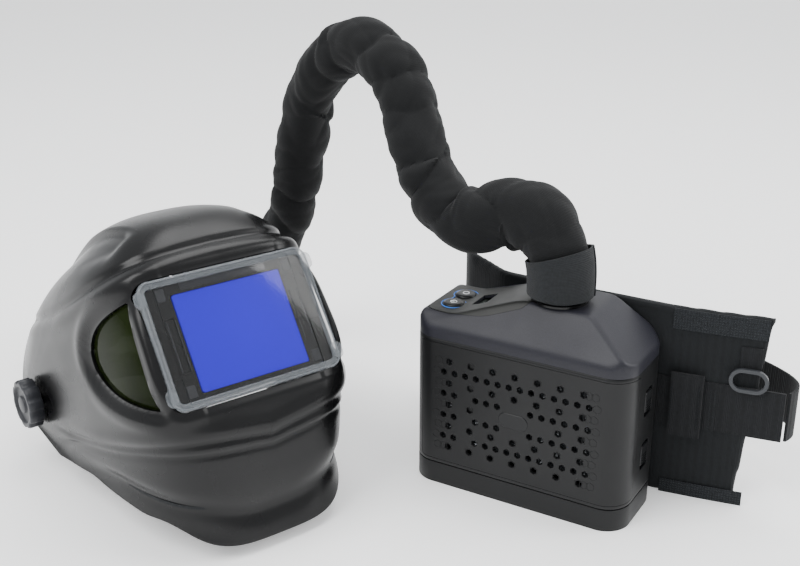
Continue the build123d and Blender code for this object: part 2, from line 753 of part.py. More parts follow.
def belt_layer(near, thick, low, high, points):
    """A strip of the belt: a band in plan between two parallel curves, stood on edge."""
    with BuildPart() as layer:
        with BuildSketch(Plane.XY.offset(low)):
            with BuildLine():
                front = FilletPolyline(*points(near), radius=30)
                back = FilletPolyline(*points(near + thick), radius=30)
                Line(front @ 0, back @ 0)
                Line(front @ 1, back @ 1)
            make_face()
        extrude(amount=high - low)
    return layer.part


with BuildPart() as belt_pad:
    add(belt_layer(PAD_Y, PAD_T, PAD_LOW, PAD_TOP, pad_line))
    with BuildSketch(Plane.XZ.offset(-300)):
        with BuildLine():
            Polyline((212, 210), (205, 204), (184, 0), (212, -5), (212, 210))
        make_face()
    extrude(amount=400, mode=Mode.SUBTRACT)
write(belt_pad.part, "belt_pad")


def strap_line(y):
    """Plan line of the webbing along the outside of the right wing, past its end."""
    return [(56, y), (112, y), (222, y + 18)]


def loop_line(inset):
    """Plan line of the free webbing behind the blower, from the wing's end to the buckle."""
    return [
        (226 - inset, PAD_Y + 19),
        (228 - inset, PAD_Y + 42),
        (196, PAD_Y + 74 - inset),
        (120, PAD_Y + 104 - inset),
        (44, PAD_Y + 114 - inset),
    ]


def left_line(inset):
    """Plan line of the webbing from the buckle back to the left wing."""
    return [
        (-34, PAD_Y + 114 - inset),
        (-90, PAD_Y + 116 - inset),
        (-140, PAD_Y + 108 - inset),
        (-166 + inset, PAD_Y + 92),
        (-152 + inset, PAD_Y + 66),
    ]


STRAP_Y = PAD_Y - STRAP_T - 0.4
with BuildPart() as waist_webbing:
    add(belt_layer(STRAP_Y, STRAP_T, STRAP_LOW, STRAP_TOP, strap_line))
    for line in (loop_line, left_line):
        with BuildSketch(Plane.XY.offset(STRAP_LOW)):
            with BuildLine():
                outer = Spline(*line(0))
                inner = Spline(*line(STRAP_T))
                Line(outer @ 0, inner @ 0)
                Line(outer @ 1, inner @ 1)
            make_face()
        extrude(amount=STRAP_TOP - STRAP_LOW)
write(waist_webbing.part, "waist_webbing")

WING_AT = Plane(origin=(188, PAD_Y + 16 * 76 / 94 - 0.2, 158), x_dir=(94, 16, 0), z_dir=(16, -94, 0))
with BuildPart() as sewn_tabs:
    with BuildSketch(Plane.XY.offset(STRAP_LOW - 8)):
        with BuildLine():
            Polyline((120, 45.6), (150, 50.7), (150, 48.4), (120, 43.3), (120, 45.6))
        make_face()
    extrude(amount=STRAP_TOP - STRAP_LOW + 16)
    with BuildSketch(WING_AT.offset(0.6)):
        Rectangle(20, 26)
    extrude(amount=2)
write(sewn_tabs.part, "sewn_tabs")

RING_DROP = -13.0
with BuildPart() as d_ring:
    with BuildSketch(WING_AT.offset(4.9)):
        with Locations((0, RING_DROP - 6)):
            SlotOverall(36, 24)
            SlotOverall(29, 17, mode=Mode.SUBTRACT)
    extrude(amount=3.2)
write(d_ring.part, "d_ring")

KEEPER_AT = Plane(origin=(84, PAD_Y + 108.6, STRAP_LOW - 4), x_dir=(-76, 10, 0), z_dir=(0, 0, 1))
with BuildPart() as strap_keeper:
    with BuildSketch(KEEPER_AT):
        Rectangle(12, 9)
    extrude(amount=STRAP_TOP - STRAP_LOW + 8)
    with BuildSketch(KEEPER_AT.offset(3)):
        Rectangle(20, 5)
    extrude(amount=STRAP_TOP - STRAP_LOW + 2, mode=Mode.SUBTRACT)
write(strap_keeper.part, "strap_keeper")

# ---- buckle ---------------------------------------------------------------------------
BUCKLE = (5.0, PAD_Y + 113.0, (STRAP_LOW + STRAP_TOP) / 2)
with BuildPart() as buckle_socket:
    with Locations((BUCKLE[0] - 14, BUCKLE[1], BUCKLE[2])):
        Box(44, 13, 60)
        Box(60, 8.4, 50, mode=Mode.SUBTRACT)
    with Locations((BUCKLE[0] - 14, BUCKLE[1], BUCKLE[2])):
        Box(20, 8.6, 70, mode=Mode.SUBTRACT)
write(buckle_socket.part, "buckle_socket")

with BuildPart() as buckle_plug:
    with Locations((BUCKLE[0] + 24, BUCKLE[1], BUCKLE[2])):
        Box(30, 11, 58)
        Box(12, 12, 52, mode=Mode.SUBTRACT)
    with Locations((BUCKLE[0] - 2, BUCKLE[1], BUCKLE[2])):
        Box(22.4, 7.6, 10)
write(buckle_plug.part, "buckle_plug")

for side, name in ((1, "buckle_prong_upper"), (-1, "buckle_prong_lower")):
    with BuildPart() as prong:
        with Locations((BUCKLE[0] - 9, BUCKLE[1], BUCKLE[2] + side * 20)):
            Box(35, 7.6, 7)
        with Locations((BUCKLE[0] - 14, BUCKLE[1], BUCKLE[2] + side * 27)):
            Box(18, 7.6, 8)
    write(prong.part, name)
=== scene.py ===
# %% [markdown]
# # A powered air respirator
# A welder's helmet with an auto darkening filter is fed with clean air through a hose in a
# gathered fabric cover, from a blower worn on a padded belt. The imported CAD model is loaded
# first. It is the frame: each piece made here goes where its part is.

# %% Load the frame
import math
import bmesh
import bpy
import numpy as np
from mathutils import Matrix, Vector


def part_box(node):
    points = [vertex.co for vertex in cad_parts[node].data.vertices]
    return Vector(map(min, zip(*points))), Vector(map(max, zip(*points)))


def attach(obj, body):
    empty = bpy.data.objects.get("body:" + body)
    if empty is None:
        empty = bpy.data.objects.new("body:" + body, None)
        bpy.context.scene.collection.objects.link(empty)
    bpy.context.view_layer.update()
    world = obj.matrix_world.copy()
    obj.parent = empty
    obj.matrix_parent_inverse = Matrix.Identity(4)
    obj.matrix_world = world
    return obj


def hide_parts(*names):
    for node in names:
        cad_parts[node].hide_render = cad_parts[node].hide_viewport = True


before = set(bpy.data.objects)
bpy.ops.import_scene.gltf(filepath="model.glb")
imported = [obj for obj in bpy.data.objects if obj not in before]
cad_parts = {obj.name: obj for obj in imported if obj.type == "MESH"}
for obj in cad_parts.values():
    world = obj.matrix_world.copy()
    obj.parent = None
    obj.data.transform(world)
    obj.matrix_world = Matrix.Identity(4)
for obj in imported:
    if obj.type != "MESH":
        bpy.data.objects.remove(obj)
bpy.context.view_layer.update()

# %% [markdown]
# Sizes are written in millimetres, as a maker would say them, and become metres when a mesh is
# made. The helmet is drawn in a frame of its own: its origin is on the pivot axis, x runs to the
# wearer's left, forwards is -y and z is up. One matrix stands that frame on its rim.

# %% Frames
MM = 0.001
PIVOT = (-401.6, -109.7, 76.0)
HELMET_TURN, HELMET_TILT = 67.63, 34.0
headgear_at = Matrix.Translation(PIVOT) @ Matrix.Rotation(math.radians(HELMET_TURN), 4, "Z")
helmet_at = headgear_at @ Matrix.Rotation(math.radians(-HELMET_TILT), 4, "X")
print("helmet pivot in metres:", [round(v * MM, 4) for v in PIVOT])

# %% [markdown]
# Most pieces here are grids of points that follow a rule, so one helper makes a mesh from such a
# grid. Its UV map is in metres along and across the grid, so that a weave keeps its real size.

# %% Mesh helpers
def add_object(name, mesh, material):
    """Put a mesh in the scene under a name, with its material."""
    piece = bpy.data.objects.new(name, mesh)
    bpy.context.scene.collection.objects.link(piece)
    mesh.materials.clear()
    mesh.materials.append(material)
    mesh.shade_smooth()
    return piece


def running_length(points, axis):
    """Mean distance travelled along one axis of a grid of points, in metres."""
    steps = np.linalg.norm(np.diff(points, axis=axis), axis=2)
    mean = steps.mean(axis=1 - axis)
    return np.concatenate([[0.0], np.cumsum(mean)]) * MM


def grid_piece(name, points, material, wrap=False, caps=False, place=None):
    """A mesh from a grid of points in millimetres; wrap joins the last column to the first."""
    rows, columns = points.shape[:2]
    closed = np.concatenate([points, points[:, :1]], axis=1) if wrap else points
    across, along = running_length(closed, 1), running_length(points, 0)
    faces, corners = [], []
    for i in range(rows - 1):
        for j in range(columns if wrap else columns - 1):
            k = (j + 1) % columns
            row, after = i * columns, (i + 1) * columns
            faces.append((row + j, row + k, after + k, after + j))
            low, high = along[i], along[i + 1]
            corners += [(across[j], low), (across[j + 1], low), (across[j + 1], high), (across[j], high)]
    if caps:
        last = (rows - 1) * columns
        faces += [tuple(reversed(range(columns))), tuple(range(last, last + columns))]
        corners += [(0.0, 0.0)] * (2 * columns)
    mesh = bpy.data.meshes.new(name)
    mesh.from_pydata([tuple(p) for p in points.reshape(-1, 3)], [], faces)
    layer = mesh.uv_layers.new(name="weave")
    layer.data.foreach_set("uv", np.array(corners, dtype=np.float32).ravel())
    if place is not None:
        mesh.transform(place)
    mesh.transform(Matrix.Scale(MM, 4))
    if wrap and caps:
        tidy_normals(mesh)
    return add_object(name, mesh, material)


def tidy_normals(mesh, merge=1e-6):
    """Merge doubles and turn every face outwards."""
    bm = bmesh.new()
    bm.from_mesh(mesh)
    bmesh.ops.remove_doubles(bm, verts=bm.verts, dist=merge)
    bmesh.ops.recalc_face_normals(bm, faces=bm.faces)
    bm.to_mesh(mesh)
    bm.free()


def settle(piece):
    """Turn a piece's modifiers into plain mesh."""
    bpy.context.view_layer.update()
    graph = bpy.context.evaluated_depsgraph_get()
    mesh = bpy.data.meshes.new_from_object(piece.evaluated_get(graph))
    piece.modifiers.clear()
    piece.data = mesh
    return piece


def crisp(piece, angle=35):
    """Keep edges sharper than an angle from being smoothed over."""
    bm = bmesh.new()
    bm.from_mesh(piece.data)
    for edge in bm.edges:
        if len(edge.link_faces) == 2:
            edge.smooth = edge.calc_face_angle() < math.radians(angle)
    bm.to_mesh(piece.data)
    bm.free()
    return piece


def thicken(piece, thickness):
    """Give a sheet a wall on the inner side of its faces, in millimetres."""
    wall = piece.modifiers.new("wall", "SOLIDIFY")
    wall.thickness = thickness * MM
    wall.offset = -1
    return crisp(settle(piece), 50)


def blunt(piece, width, segments=2, angle=40):
    """Round a piece's hard edges with a bevel of a width in millimetres."""
    bevel = piece.modifiers.new("blunt", "BEVEL")
    bevel.width = width * MM
    bevel.segments = segments
    bevel.limit_method = "ANGLE"
    bevel.angle_limit = math.radians(angle)
    return settle(piece)


print("helpers ready")

# %% [markdown]
# Curves are drawn through a few chosen points. `through` gives a smooth line through knots, and
# `round_corners` cuts a polyline's corners again and again until they are soft.

# %% Curve helpers
def through(knots, values, at):
    """Values of a smooth curve through the given ones, with slopes taken from the neighbours."""
    knots, values, at = np.asarray(knots, float), np.asarray(values, float), np.asarray(at, float)
    slopes = np.gradient(values, knots, axis=0)
    i = np.clip(np.searchsorted(knots, at) - 1, 0, len(knots) - 2)
    step = knots[i + 1] - knots[i]
    u = (at - knots[i]) / step
    if values.ndim > 1:
        u, step = u[:, None], step[:, None]
    start, end = values[i] * (1 + 2 * u) * (1 - u) ** 2, values[i + 1] * (3 - 2 * u) * u**2
    return start + end + step * (slopes[i] * u * (1 - u) ** 2 - slopes[i + 1] * (1 - u) * u**2)


def round_corners(points, times=3):
    """A polyline with its corners cut several times; its ends stay where they are."""
    line = np.asarray(points, float)
    for _ in range(times):
        near, far = line[:-1] * 0.75 + line[1:] * 0.25, line[:-1] * 0.25 + line[1:] * 0.75
        middle = np.stack([near, far], axis=1).reshape(-1, line.shape[1])
        line = np.concatenate([line[:1], middle[1:-1], line[-1:]])
    return line


def evenly(line, count):
    """The same line with points at even distances along it."""
    travel = np.concatenate([[0.0], np.cumsum(np.linalg.norm(np.diff(line, axis=0), axis=1))])
    at = np.linspace(0, travel[-1], count)
    return np.stack([np.interp(at, travel, line[:, k]) for k in range(line.shape[1])], axis=1)


def smoothstep(low, high, value):
    """0 below low, 1 above high and a soft S between them."""
    t = np.clip((value - low) / (high - low), 0, 1)
    return t * t * (3 - 2 * t)


def hump(value, width):
    """A soft hump of height 1 at zero."""
    return np.exp(-((value / width) ** 2))


print("a rounded square has", len(round_corners([(0, 0), (1, 0), (1, 1), (0, 1)])), "points")

# %% [markdown]
# Finishes. A colour is written as the hex value that the eye sees and turned to the linear
# numbers that the shader works with. One small function adds a node with its settings and links,
# and two recipes cover most of the object: moulded plastic and woven cloth.

# %% Material helpers
def linear(colour):
    """Linear RGBA from an sRGB hex colour."""
    parts = [int(colour[i:i + 2], 16) / 255 for i in (1, 3, 5)]
    return (*[c / 12.92 if c <= 0.04045 else ((c + 0.055) / 1.055) ** 2.4 for c in parts], 1.0)


def node(tree, kind, inputs=None, **settings):
    """A node with its settings; an input is given a number, a colour or a socket to link."""
    made = tree.nodes.new(kind)
    for name, value in settings.items():
        setattr(made, name, value)
    for socket, value in (inputs or {}).items():
        if isinstance(value, bpy.types.NodeSocket):
            tree.links.new(value, made.inputs[socket])
        else:
            made.inputs[socket].default_value = value
    return made


def start(name, colour, rough, **sockets):
    """A material with its shader set; further sockets are given with _ for a space."""
    material = bpy.data.materials.new(name)
    material.use_nodes = True
    tree = material.node_tree
    shader = tree.nodes["Principled BSDF"]
    shader.inputs["Base Color"].default_value = linear(colour)
    shader.inputs["Roughness"].default_value = rough
    for socket, value in sockets.items():
        shader.inputs[socket.replace("_", " ")].default_value = value
    return material, tree, shader


def moulded(name, colour, rough, grain, depth, lighter=None, **sockets):
    """Moulded plastic: a skin texture of grain millimetres, and a slow change of gloss."""
    material, tree, shader = start(name, colour, rough, **{"Specular_IOR_Level": 0.28, **sockets})
    where = node(tree, "ShaderNodeTexCoord").outputs["Object"]
    skin = node(tree, "ShaderNodeTexNoise", {"Vector": where, "Scale": 1 / (grain * MM), "Detail": 2.0})
    slow = node(tree, "ShaderNodeTexNoise", {"Vector": where, "Scale": 18.0, "Detail": 3.0})
    gloss = node(tree, "ShaderNodeMapRange", {"Value": slow.outputs["Fac"], "From Min": 0.3,
                 "From Max": 0.7, "To Min": rough - 0.04, "To Max": rough + 0.06})
    tree.links.new(gloss.outputs["Result"], shader.inputs["Roughness"])
    bump = node(tree, "ShaderNodeBump", {"Height": skin.outputs["Fac"], "Distance": depth * MM,
                "Strength": 0.6})
    tree.links.new(bump.outputs["Normal"], shader.inputs["Normal"])
    mix = node(tree, "ShaderNodeMix", {"Factor": skin.outputs["Fac"], "A": linear(colour),
               "B": linear(lighter or colour)}, data_type="RGBA")
    tree.links.new(mix.outputs["Result"], shader.inputs["Base Color"])
    return material


def woven(name, colour, lighter, thread, depth, uv=True, **sockets):
    """Woven cloth: two sets of threads over and under each other, thread millimetres apart."""
    material, tree, shader = start(name, colour, 0.88, Sheen_Weight=0.06, Sheen_Roughness=0.5,
                                   Specular_IOR_Level=0.2, **sockets)
    place = node(tree, "ShaderNodeTexCoord").outputs["UV" if uv else "Object"]
    pitch = 2 * math.pi / (thread * MM) / 20
    warp = node(tree, "ShaderNodeTexWave", {"Vector": place, "Scale": pitch, "Distortion": 0.6,
                "Detail": 1.0, "Detail Scale": 2.0}, bands_direction="X")
    weft = node(tree, "ShaderNodeTexWave", {"Vector": place, "Scale": pitch, "Distortion": 0.6,
                "Detail": 1.0, "Detail Scale": 2.0}, bands_direction="Y")
    threads = node(tree, "ShaderNodeMath", {0: warp.outputs["Fac"], 1: weft.outputs["Fac"]},
                   operation="MULTIPLY")
    fluff = node(tree, "ShaderNodeTexNoise", {"Vector": place, "Scale": 300.0, "Detail": 4.0})
    height = node(tree, "ShaderNodeMath", {0: threads.outputs[0], 1: fluff.outputs["Fac"]},
                  operation="ADD")
    bump = node(tree, "ShaderNodeBump", {"Height": height.outputs[0], "Distance": depth * MM,
                "Strength": 0.8})
    tree.links.new(bump.outputs["Normal"], shader.inputs["Normal"])
    mix = node(tree, "ShaderNodeMix", {"Factor": height.outputs[0], "A": linear(colour),
               "B": linear(lighter)}, data_type="RGBA")
    tree.links.new(mix.outputs["Result"], shader.inputs["Base Color"])
    return material


print("black nylon in linear light:", [round(c, 4) for c in linear("#1c1d1f")[:3]])

# %% [markdown]
# The plastics. The helmet is moulded glass-filled nylon with a satin skin, so it has broad soft
# highlights. The blower's case is ABS with a spark-eroded texture of about 1 mm, which breaks a
# highlight into fine specks, and the control panel and the knobs are plainer. The lid keeps the
# dark tone of its moulding, and its lighter blue-grey specks are a painted reflection of the lamps on its
# texture.

# %% Plastics
nylon = moulded("satin_black_nylon", "#060607", 0.27, 1.6, 0.02, "#0a0a0b")
case_abs = moulded("textured_black_abs", "#09090a", 0.42, 1.0, 0.09, "#101112")
# The lid's lighter blue-grey speck colour is a painted reflection of the lamps on its texture, over its own dark
# tone.
lid_abs = moulded("spark_eroded_abs_lid_painted_glints", "#141419", 0.42, 1.0, 0.16, "#26262e")
plain_abs = moulded("plain_black_abs", "#0d0e0f", 0.38, 0.7, 0.03, "#121315")
panel_abs = moulded("smooth_panel_abs", "#151614", 0.42, 0.5, 0.01, "#191a18")
knob_pp = moulded("knob_grey_polypropylene", "#26272a", 0.42, 0.9, 0.05, "#313236")
acetal = moulded("ring_grey_acetal", "#2e3033", 0.34, 0.8, 0.02, "#37393c")
button_tpe = moulded("soft_black_button", "#0f1011", 0.30, 0.6, 0.02, "#141516")

# %% [markdown]
# The clear and coated parts. The cover lens is thin polycarbonate: nearly all of what is behind
# it shows, and its gloss comes on top. The darkening glass wears an interference coating that
# looks a strong blue-violet. The side windows are dyed dark green like welding glass, and the
# olive patches in their colour are painted reflections.

# %% Clear and coated parts
clear_pc, tree, shader = start("clear_polycarbonate", "#0c0d0e", 0.05, IOR=2.0, Alpha=0.13)
frosted_pc, tree, shader = start("moulded_rim_polycarbonate", "#767b80", 0.16, IOR=1.6, Alpha=0.32)
place = node(tree, "ShaderNodeTexCoord").outputs["Object"]
flow = node(tree, "ShaderNodeTexNoise", {"Vector": place, "Scale": 160.0, "Detail": 3.0})
frost = node(tree, "ShaderNodeMapRange", {"Value": flow.outputs["Fac"], "To Min": 0.10, "To Max": 0.34})
tree.links.new(frost.outputs["Result"], shader.inputs["Roughness"])

coated_glass, tree, shader = start("blue_violet_coated_glass", "#2416f0", 0.2, IOR=1.2)
place = node(tree, "ShaderNodeTexCoord").outputs["Object"]
cloud = node(tree, "ShaderNodeTexNoise", {"Vector": place, "Scale": 9.0, "Detail": 1.0})
tint = node(tree, "ShaderNodeMix", {"Factor": cloud.outputs["Fac"], "A": linear("#2409cc"),
            "B": linear("#3312e6")}, data_type="RGBA")
tree.links.new(tint.outputs["Result"], shader.inputs["Base Color"])

shade_green, tree, shader = start("dyed_green_window_painted_reflections", "#0a0d06", 0.06, IOR=1.12, Alpha=0.93)
place = node(tree, "ShaderNodeTexCoord").outputs["Object"]
# The olive patches mixed into the window's dark green are painted reflections, not dye.
painted_reflection_patches = node(tree, "ShaderNodeTexNoise", {"Vector": place, "Scale": 22.0, "Detail": 1.0})
painted_reflection_tint = node(tree, "ShaderNodeMix", {"Factor": painted_reflection_patches.outputs["Fac"], "A": linear("#070904"),
           "B": linear("#1d260c")}, data_type="RGBA")
tree.links.new(painted_reflection_tint.outputs["Result"], shader.inputs["Base Color"])
solar_glass = moulded("solar_cell_glass", "#15161c", 0.12, 2.0, 0.004, "#1c1d26", Coat_Weight=0.8)
print("cover lens lets through", round(1 - 0.13, 2), "of what is behind it")

# %% [markdown]
# The cloths. The hose cover is a flame retardant cotton with a thread of about 0.8 mm, drawn at
# 1.4 mm so that it shows. The webbing is drawn with a coarser thread than the belt's cloth, and
# the belt's binding is a fuzzy looped tape.

# %% Cloths and rubbers
hose_cotton = woven("flame_retardant_cotton", "#09090a", "#131415", 1.4, 0.22)
binding_tape = woven("looped_binding_tape", "#0e0f10", "#24272a", 2.6, 1.0)
hook_tape = woven("hook_and_loop_tape", "#111213", "#26282a", 1.2, 0.6)
lining_cloth = woven("face_seal_cloth", "#141517", "#1f2123", 1.4, 0.25, uv=False)
soft_foam = moulded("black_soft_foam", "#17181a", 0.92, 1.1, 0.35, "#222427", Sheen_Weight=0.2)
filter_foam = moulded("grey_filter_foam", "#4a4d50", 0.95, 1.6, 0.6, "#62666a")
belt_cloth_3d = woven("belt_cloth_on_foam", "#0e0f10", "#191b1d", 1.3, 0.25, uv=False)
webbing_3d = woven("ribbed_strap_webbing", "#0c0d0e", "#1b1c1e", 1.6, 0.5, uv=False)
tube_rubber = moulded("black_tube_rubber", "#121314", 0.55, 1.2, 0.03)
seal_rubber = moulded("grey_seal_rubber", "#3a3c3f", 0.6, 0.9, 0.03)

# %% [markdown]
# The rest: zinc plated steel for screws, studs and the spark screen, pleated filter paper, the
# green solder mask of the circuit board, and the inks printed on the panel.

# %% Metals, paper and inks
steel, tree, shader = start("zinc_plated_steel", "#b9bcc0", 0.34, Metallic=1.0)
place = node(tree, "ShaderNodeTexCoord").outputs["Object"]
streak = node(tree, "ShaderNodeTexNoise", {"Vector": place, "Scale": 900.0, "Detail": 2.0})
wear = node(tree, "ShaderNodeMapRange", {"Value": streak.outputs["Fac"], "To Min": 0.24, "To Max": 0.46})
tree.links.new(wear.outputs["Result"], shader.inputs["Roughness"])
paper = moulded("pleated_filter_paper", "#dcdbd2", 0.9, 1.0, 0.1, "#e8e7df")
solder_mask = moulded("green_solder_mask", "#0d3b1c", 0.3, 2.0, 0.02, "#135227")
cell_wrap = moulded("battery_cell_wrap", "#14305e", 0.35, 2.0, 0.01, "#1a3a70")
blue_ink = moulded("blue_panel_ink", "#2c6cc4", 0.4, 0.8, 0.004, "#3a7ad0")
white_ink = moulded("white_panel_ink", "#d9dbdc", 0.5, 0.8, 0.004, "#e4e6e7")
display_film = moulded("grey_display_film", "#2a2e2c", 0.2, 3.0, 0.002, "#303532")
print(len(bpy.data.materials), "materials")

# %% [markdown]
# The floor and the light. A pale floor that turns up into a wall far behind has no line behind
# the object. The light is soft: one big box above and in front, one at the right whose
# reflection lies across the cover lens, and a gentle sky.

# %% Camera, floor and lights
CAMERA_AT = Vector((0.4194, -0.965, 0.630))
LOOK, PITCH = (-0.5095, 0.8605), 21.5
FOCAL = 53.87


def add_camera():
    """The camera stands where it sees the set from the right front and a little above."""
    data = bpy.data.cameras.new("camera")
    data.lens, data.sensor_width = FOCAL, 36.0
    camera = bpy.data.objects.new("camera", data)
    bpy.context.scene.collection.objects.link(camera)
    level = math.cos(math.radians(PITCH))
    aim = Vector((LOOK[0] * level, LOOK[1] * level, -math.sin(math.radians(PITCH))))
    camera.location = CAMERA_AT
    camera.rotation_mode = "QUATERNION"
    camera.rotation_quaternion = aim.to_track_quat("-Z", "Y")
    bpy.context.scene.camera = camera


def add_softbox(name, at, towards, size, watts):
    """A square area light at a point, turned towards another."""
    data = bpy.data.lights.new(name, "AREA")
    data.shape, data.size, data.energy = "SQUARE", size, watts
    lamp = bpy.data.objects.new(name, data)
    bpy.context.scene.collection.objects.link(lamp)
    lamp.location = at
    lamp.rotation_mode = "QUATERNION"
    lamp.rotation_quaternion = (Vector(towards) - Vector(at)).to_track_quat("-Z", "Y")


add_camera()
MIDDLE = (-0.1, -0.05, 0.15)
add_softbox("key_softbox", (-0.75, -1.5, 2.0), MIDDLE, 1.5, 50)
add_softbox("right_softbox", (1.66, 0.92, 1.5), (-0.2, -0.19, 0.2), 1.1, 22)
add_softbox("top_softbox", (-0.2, 0.5, 2.3), MIDDLE, 1.6, 40)
world = bpy.data.worlds.new("studio")
world.use_nodes = True
world.node_tree.nodes["Background"].inputs["Color"].default_value = (0.92, 0.94, 0.96, 1)
world.node_tree.nodes["Background"].inputs["Strength"].default_value = 1.0
bpy.context.scene.world = world

floor_paint, tree, shader = start("pale_floor", "#fafafa", 0.9, Emission_Strength=0.35)
SWEEP = [(-6000, 0), (2500, 0), (3400, 120), (4000, 700), (4200, 1600), (4200, 6000)]
profile = evenly(round_corners(SWEEP), 60)
sides = np.linspace(-7000, 7000, 3)
floor_grid = np.array([[(x, y, z) for x in sides] for y, z in profile])
floor_sweep = grid_piece("floor", floor_grid, floor_paint)
print("camera at", tuple(CAMERA_AT), "focal length", FOCAL)

# %% [markdown]
# The hose comes next, because it settles the room that the set takes. It leaves the helmet's
# inlet, goes round behind the helmet, rises in a free arch and comes down into the blower. Its
# line is a NURBS curve that has the route's points as control points.

# %% The hose's line
OUTLET = (20.0, 3.0)
HOSE_TOP = 220.75


def headgear_point(x, y, z):
    """A point of the level headgear's frame, in millimetres in the row's frame."""
    return tuple(headgear_at @ Vector((x, y, z)))


HOSE_ROUTE = [
    headgear_point(0, 133.25, 8),
    headgear_point(0, 175.25, 8),
    (-628, 6, 58),
    (-634, 72, 40),
    (-590, 126, 31),
    (-525, 143, 36),
    (-458, 134, 72),
    (-400, 120, 132),
    (-360, 110, 205),
    (-338, 98, 290),
    (-311, 85, 364),
    (-248, 75, 417),
    (-189, 60, 385),
    (-158, 43, 328),
    (-126, 27, 282),
    (-86, 15, 250),
    (-36, 15, 284),
    (OUTLET[0], OUTLET[1], 268),
    (OUTLET[0], OUTLET[1], HOSE_TOP),
]


def smooth_line(points):
    """Points in millimetres along the NURBS curve that has these control points."""
    curve = bpy.data.curves.new("line", "CURVE")
    curve.dimensions = "3D"
    curve.resolution_u = 24
    spline = curve.splines.new("NURBS")
    spline.points.add(len(points) - 1)
    for control, point in zip(spline.points, points):
        control.co = (*point, 1)
    spline.order_u = 3
    spline.use_endpoint_u = True
    carrier = bpy.data.objects.new("line", curve)
    bpy.context.scene.collection.objects.link(carrier)
    bpy.context.view_layer.update()
    graph = bpy.context.evaluated_depsgraph_get()
    mesh = bpy.data.meshes.new_from_object(carrier.evaluated_get(graph))
    line = np.array([v.co for v in mesh.vertices], float)
    bpy.data.objects.remove(carrier)
    bpy.data.meshes.remove(mesh)
    return line


hose_line = smooth_line(HOSE_ROUTE)
hose_length = np.linalg.norm(np.diff(hose_line, axis=0), axis=1).sum()
print("hose length in metres:", round(hose_length * MM, 3))

# %% [markdown]
# The cover is a sleeve much longer than the hose, pushed together along it, so the cloth lies in
# gathers. Each gather is a crease that bites in on one side and leans over, with a pillow of
# cloth between it and the next. The creases are placed with a fixed seed.

# %% The hose cover
SLEEVE_RADIUS = [(0, 24.8), (40, 25), (480, 24.5), (640, 24.5), (860, 25), (980, 27), (1060, 29),
                 (1120, 30), (1155, 27), (1204, 25.5)]
SLEEVE_RINGS, SLEEVE_AROUND = 500, 96


def carry_frames(line):
    """Two directions across a line at each of its points, carried along without twist."""
    ahead = np.gradient(line, axis=0)
    ahead /= np.linalg.norm(ahead, axis=1)[:, None]
    side = np.cross(ahead[0], (0.0, 0.0, 1.0))
    if np.linalg.norm(side) < 0.1:
        side = np.cross(ahead[0], (0.0, 1.0, 0.0))
    sides = []
    for direction in ahead:
        side = side - direction * (side @ direction)
        side = side / np.linalg.norm(side)
        sides.append(side)
    sides = np.array(sides)
    return sides, np.cross(ahead, sides)


def tube_points(line, radii, around):
    """Rings of points round a line; radii is one number, one for each ring, or a full grid."""
    sides, ups = carry_frames(line)
    turn = np.linspace(0, 2 * math.pi, around, endpoint=False)
    radii = np.broadcast_to(np.asarray(radii, float).reshape(-1, 1) if np.ndim(radii) == 1 else radii,
                            (len(line), around))
    ring = np.cos(turn)[None, :, None] * sides[:, None] + np.sin(turn)[None, :, None] * ups[:, None]
    return line[:, None] + ring * radii[:, :, None]


def gathers(along, turn, seed):
    """How far the cloth stands out, by the distance along the sleeve and the angle round it."""
    chance = np.random.default_rng(seed)
    marks = [-30.0]
    while marks[-1] < along[-1] + 60:
        marks.append(marks[-1] + chance.uniform(19, 58))
    marks = np.array(marks)
    lean = chance.uniform(5, 24, len(marks))
    side = chance.uniform(0, 2 * math.pi, len(marks))
    bite = chance.uniform(0.35, 1.0, len(marks))
    swell = np.zeros((len(along), len(turn)))
    for j, angle in enumerate(turn):
        creases = np.sort(marks + lean * np.cos(angle - side) + 3 * np.sin(3 * angle + 2 * side))
        i = np.clip(np.searchsorted(creases, along) - 1, 0, len(marks) - 2)
        u = np.clip((along - creases[i]) / np.maximum(creases[i + 1] - creases[i], 4.0), 0, 1)
        open_side = 0.45 + 0.55 * np.cos(angle - side[i] - 1.2)
        pillow = np.sin(math.pi * u) ** 0.55
        swell[:, j] = pillow * (0.8 + 5.2 * bite[i] * open_side) - 2.0 * bite[i] * (1 - pillow)
    s, a = along[:, None], turn[None, :]
    wander = 1.4 * np.sin(s / 31 + 2 * np.sin(a + 0.4)) + 1.1 * np.sin(2 * a + s / 47)
    small = 0.7 * np.abs(np.sin(s / 6.5 + 2.2 * np.sin(2 * a + s / 40))) + 0.45 * np.sin(5 * a + s / 13)
    pulls = 1.5 * np.abs(np.sin(s / 17 - 1.5 * a + 1.3 * np.sin(a + s / 52))) ** 0.6
    return swell + wander + small + pulls - 0.8


sleeve_line = evenly(hose_line, SLEEVE_RINGS)
along = np.linspace(0, hose_length, SLEEVE_RINGS)
turn = np.linspace(0, 2 * math.pi, SLEEVE_AROUND, endpoint=False)
base = np.interp(along, *zip(*SLEEVE_RADIUS))
ease = smoothstep(0, 26, along) * smoothstep(20, 62, hose_length - along)
sleeve_radii = base[:, None] + gathers(along, turn, 11) * (0.12 + 0.88 * ease[:, None])
sleeve_radii = np.clip(sleeve_radii, 24.2, 42.5)
outer_rings = tube_points(sleeve_line, sleeve_radii, SLEEVE_AROUND)
sleeve = grid_piece("hose_sleeve", outer_rings, hose_cotton, wrap=True)
tidy_normals(sleeve.data)
sleeve = thicken(sleeve, 1.0)
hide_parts("hose_cover")
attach(sleeve, "blower")
print("sleeve has", len(sleeve.data.polygons), "faces")

# %% [markdown]
# A band of hook and loop tape closes the sleeve round the blower's connector. It is a strip
# wrapped once round and over its own end, so its radius grows a little as it goes.

# %% The closing band
BAND_LOW, BAND_WIDE, BAND_R = 0.8, 38.0, 31.0


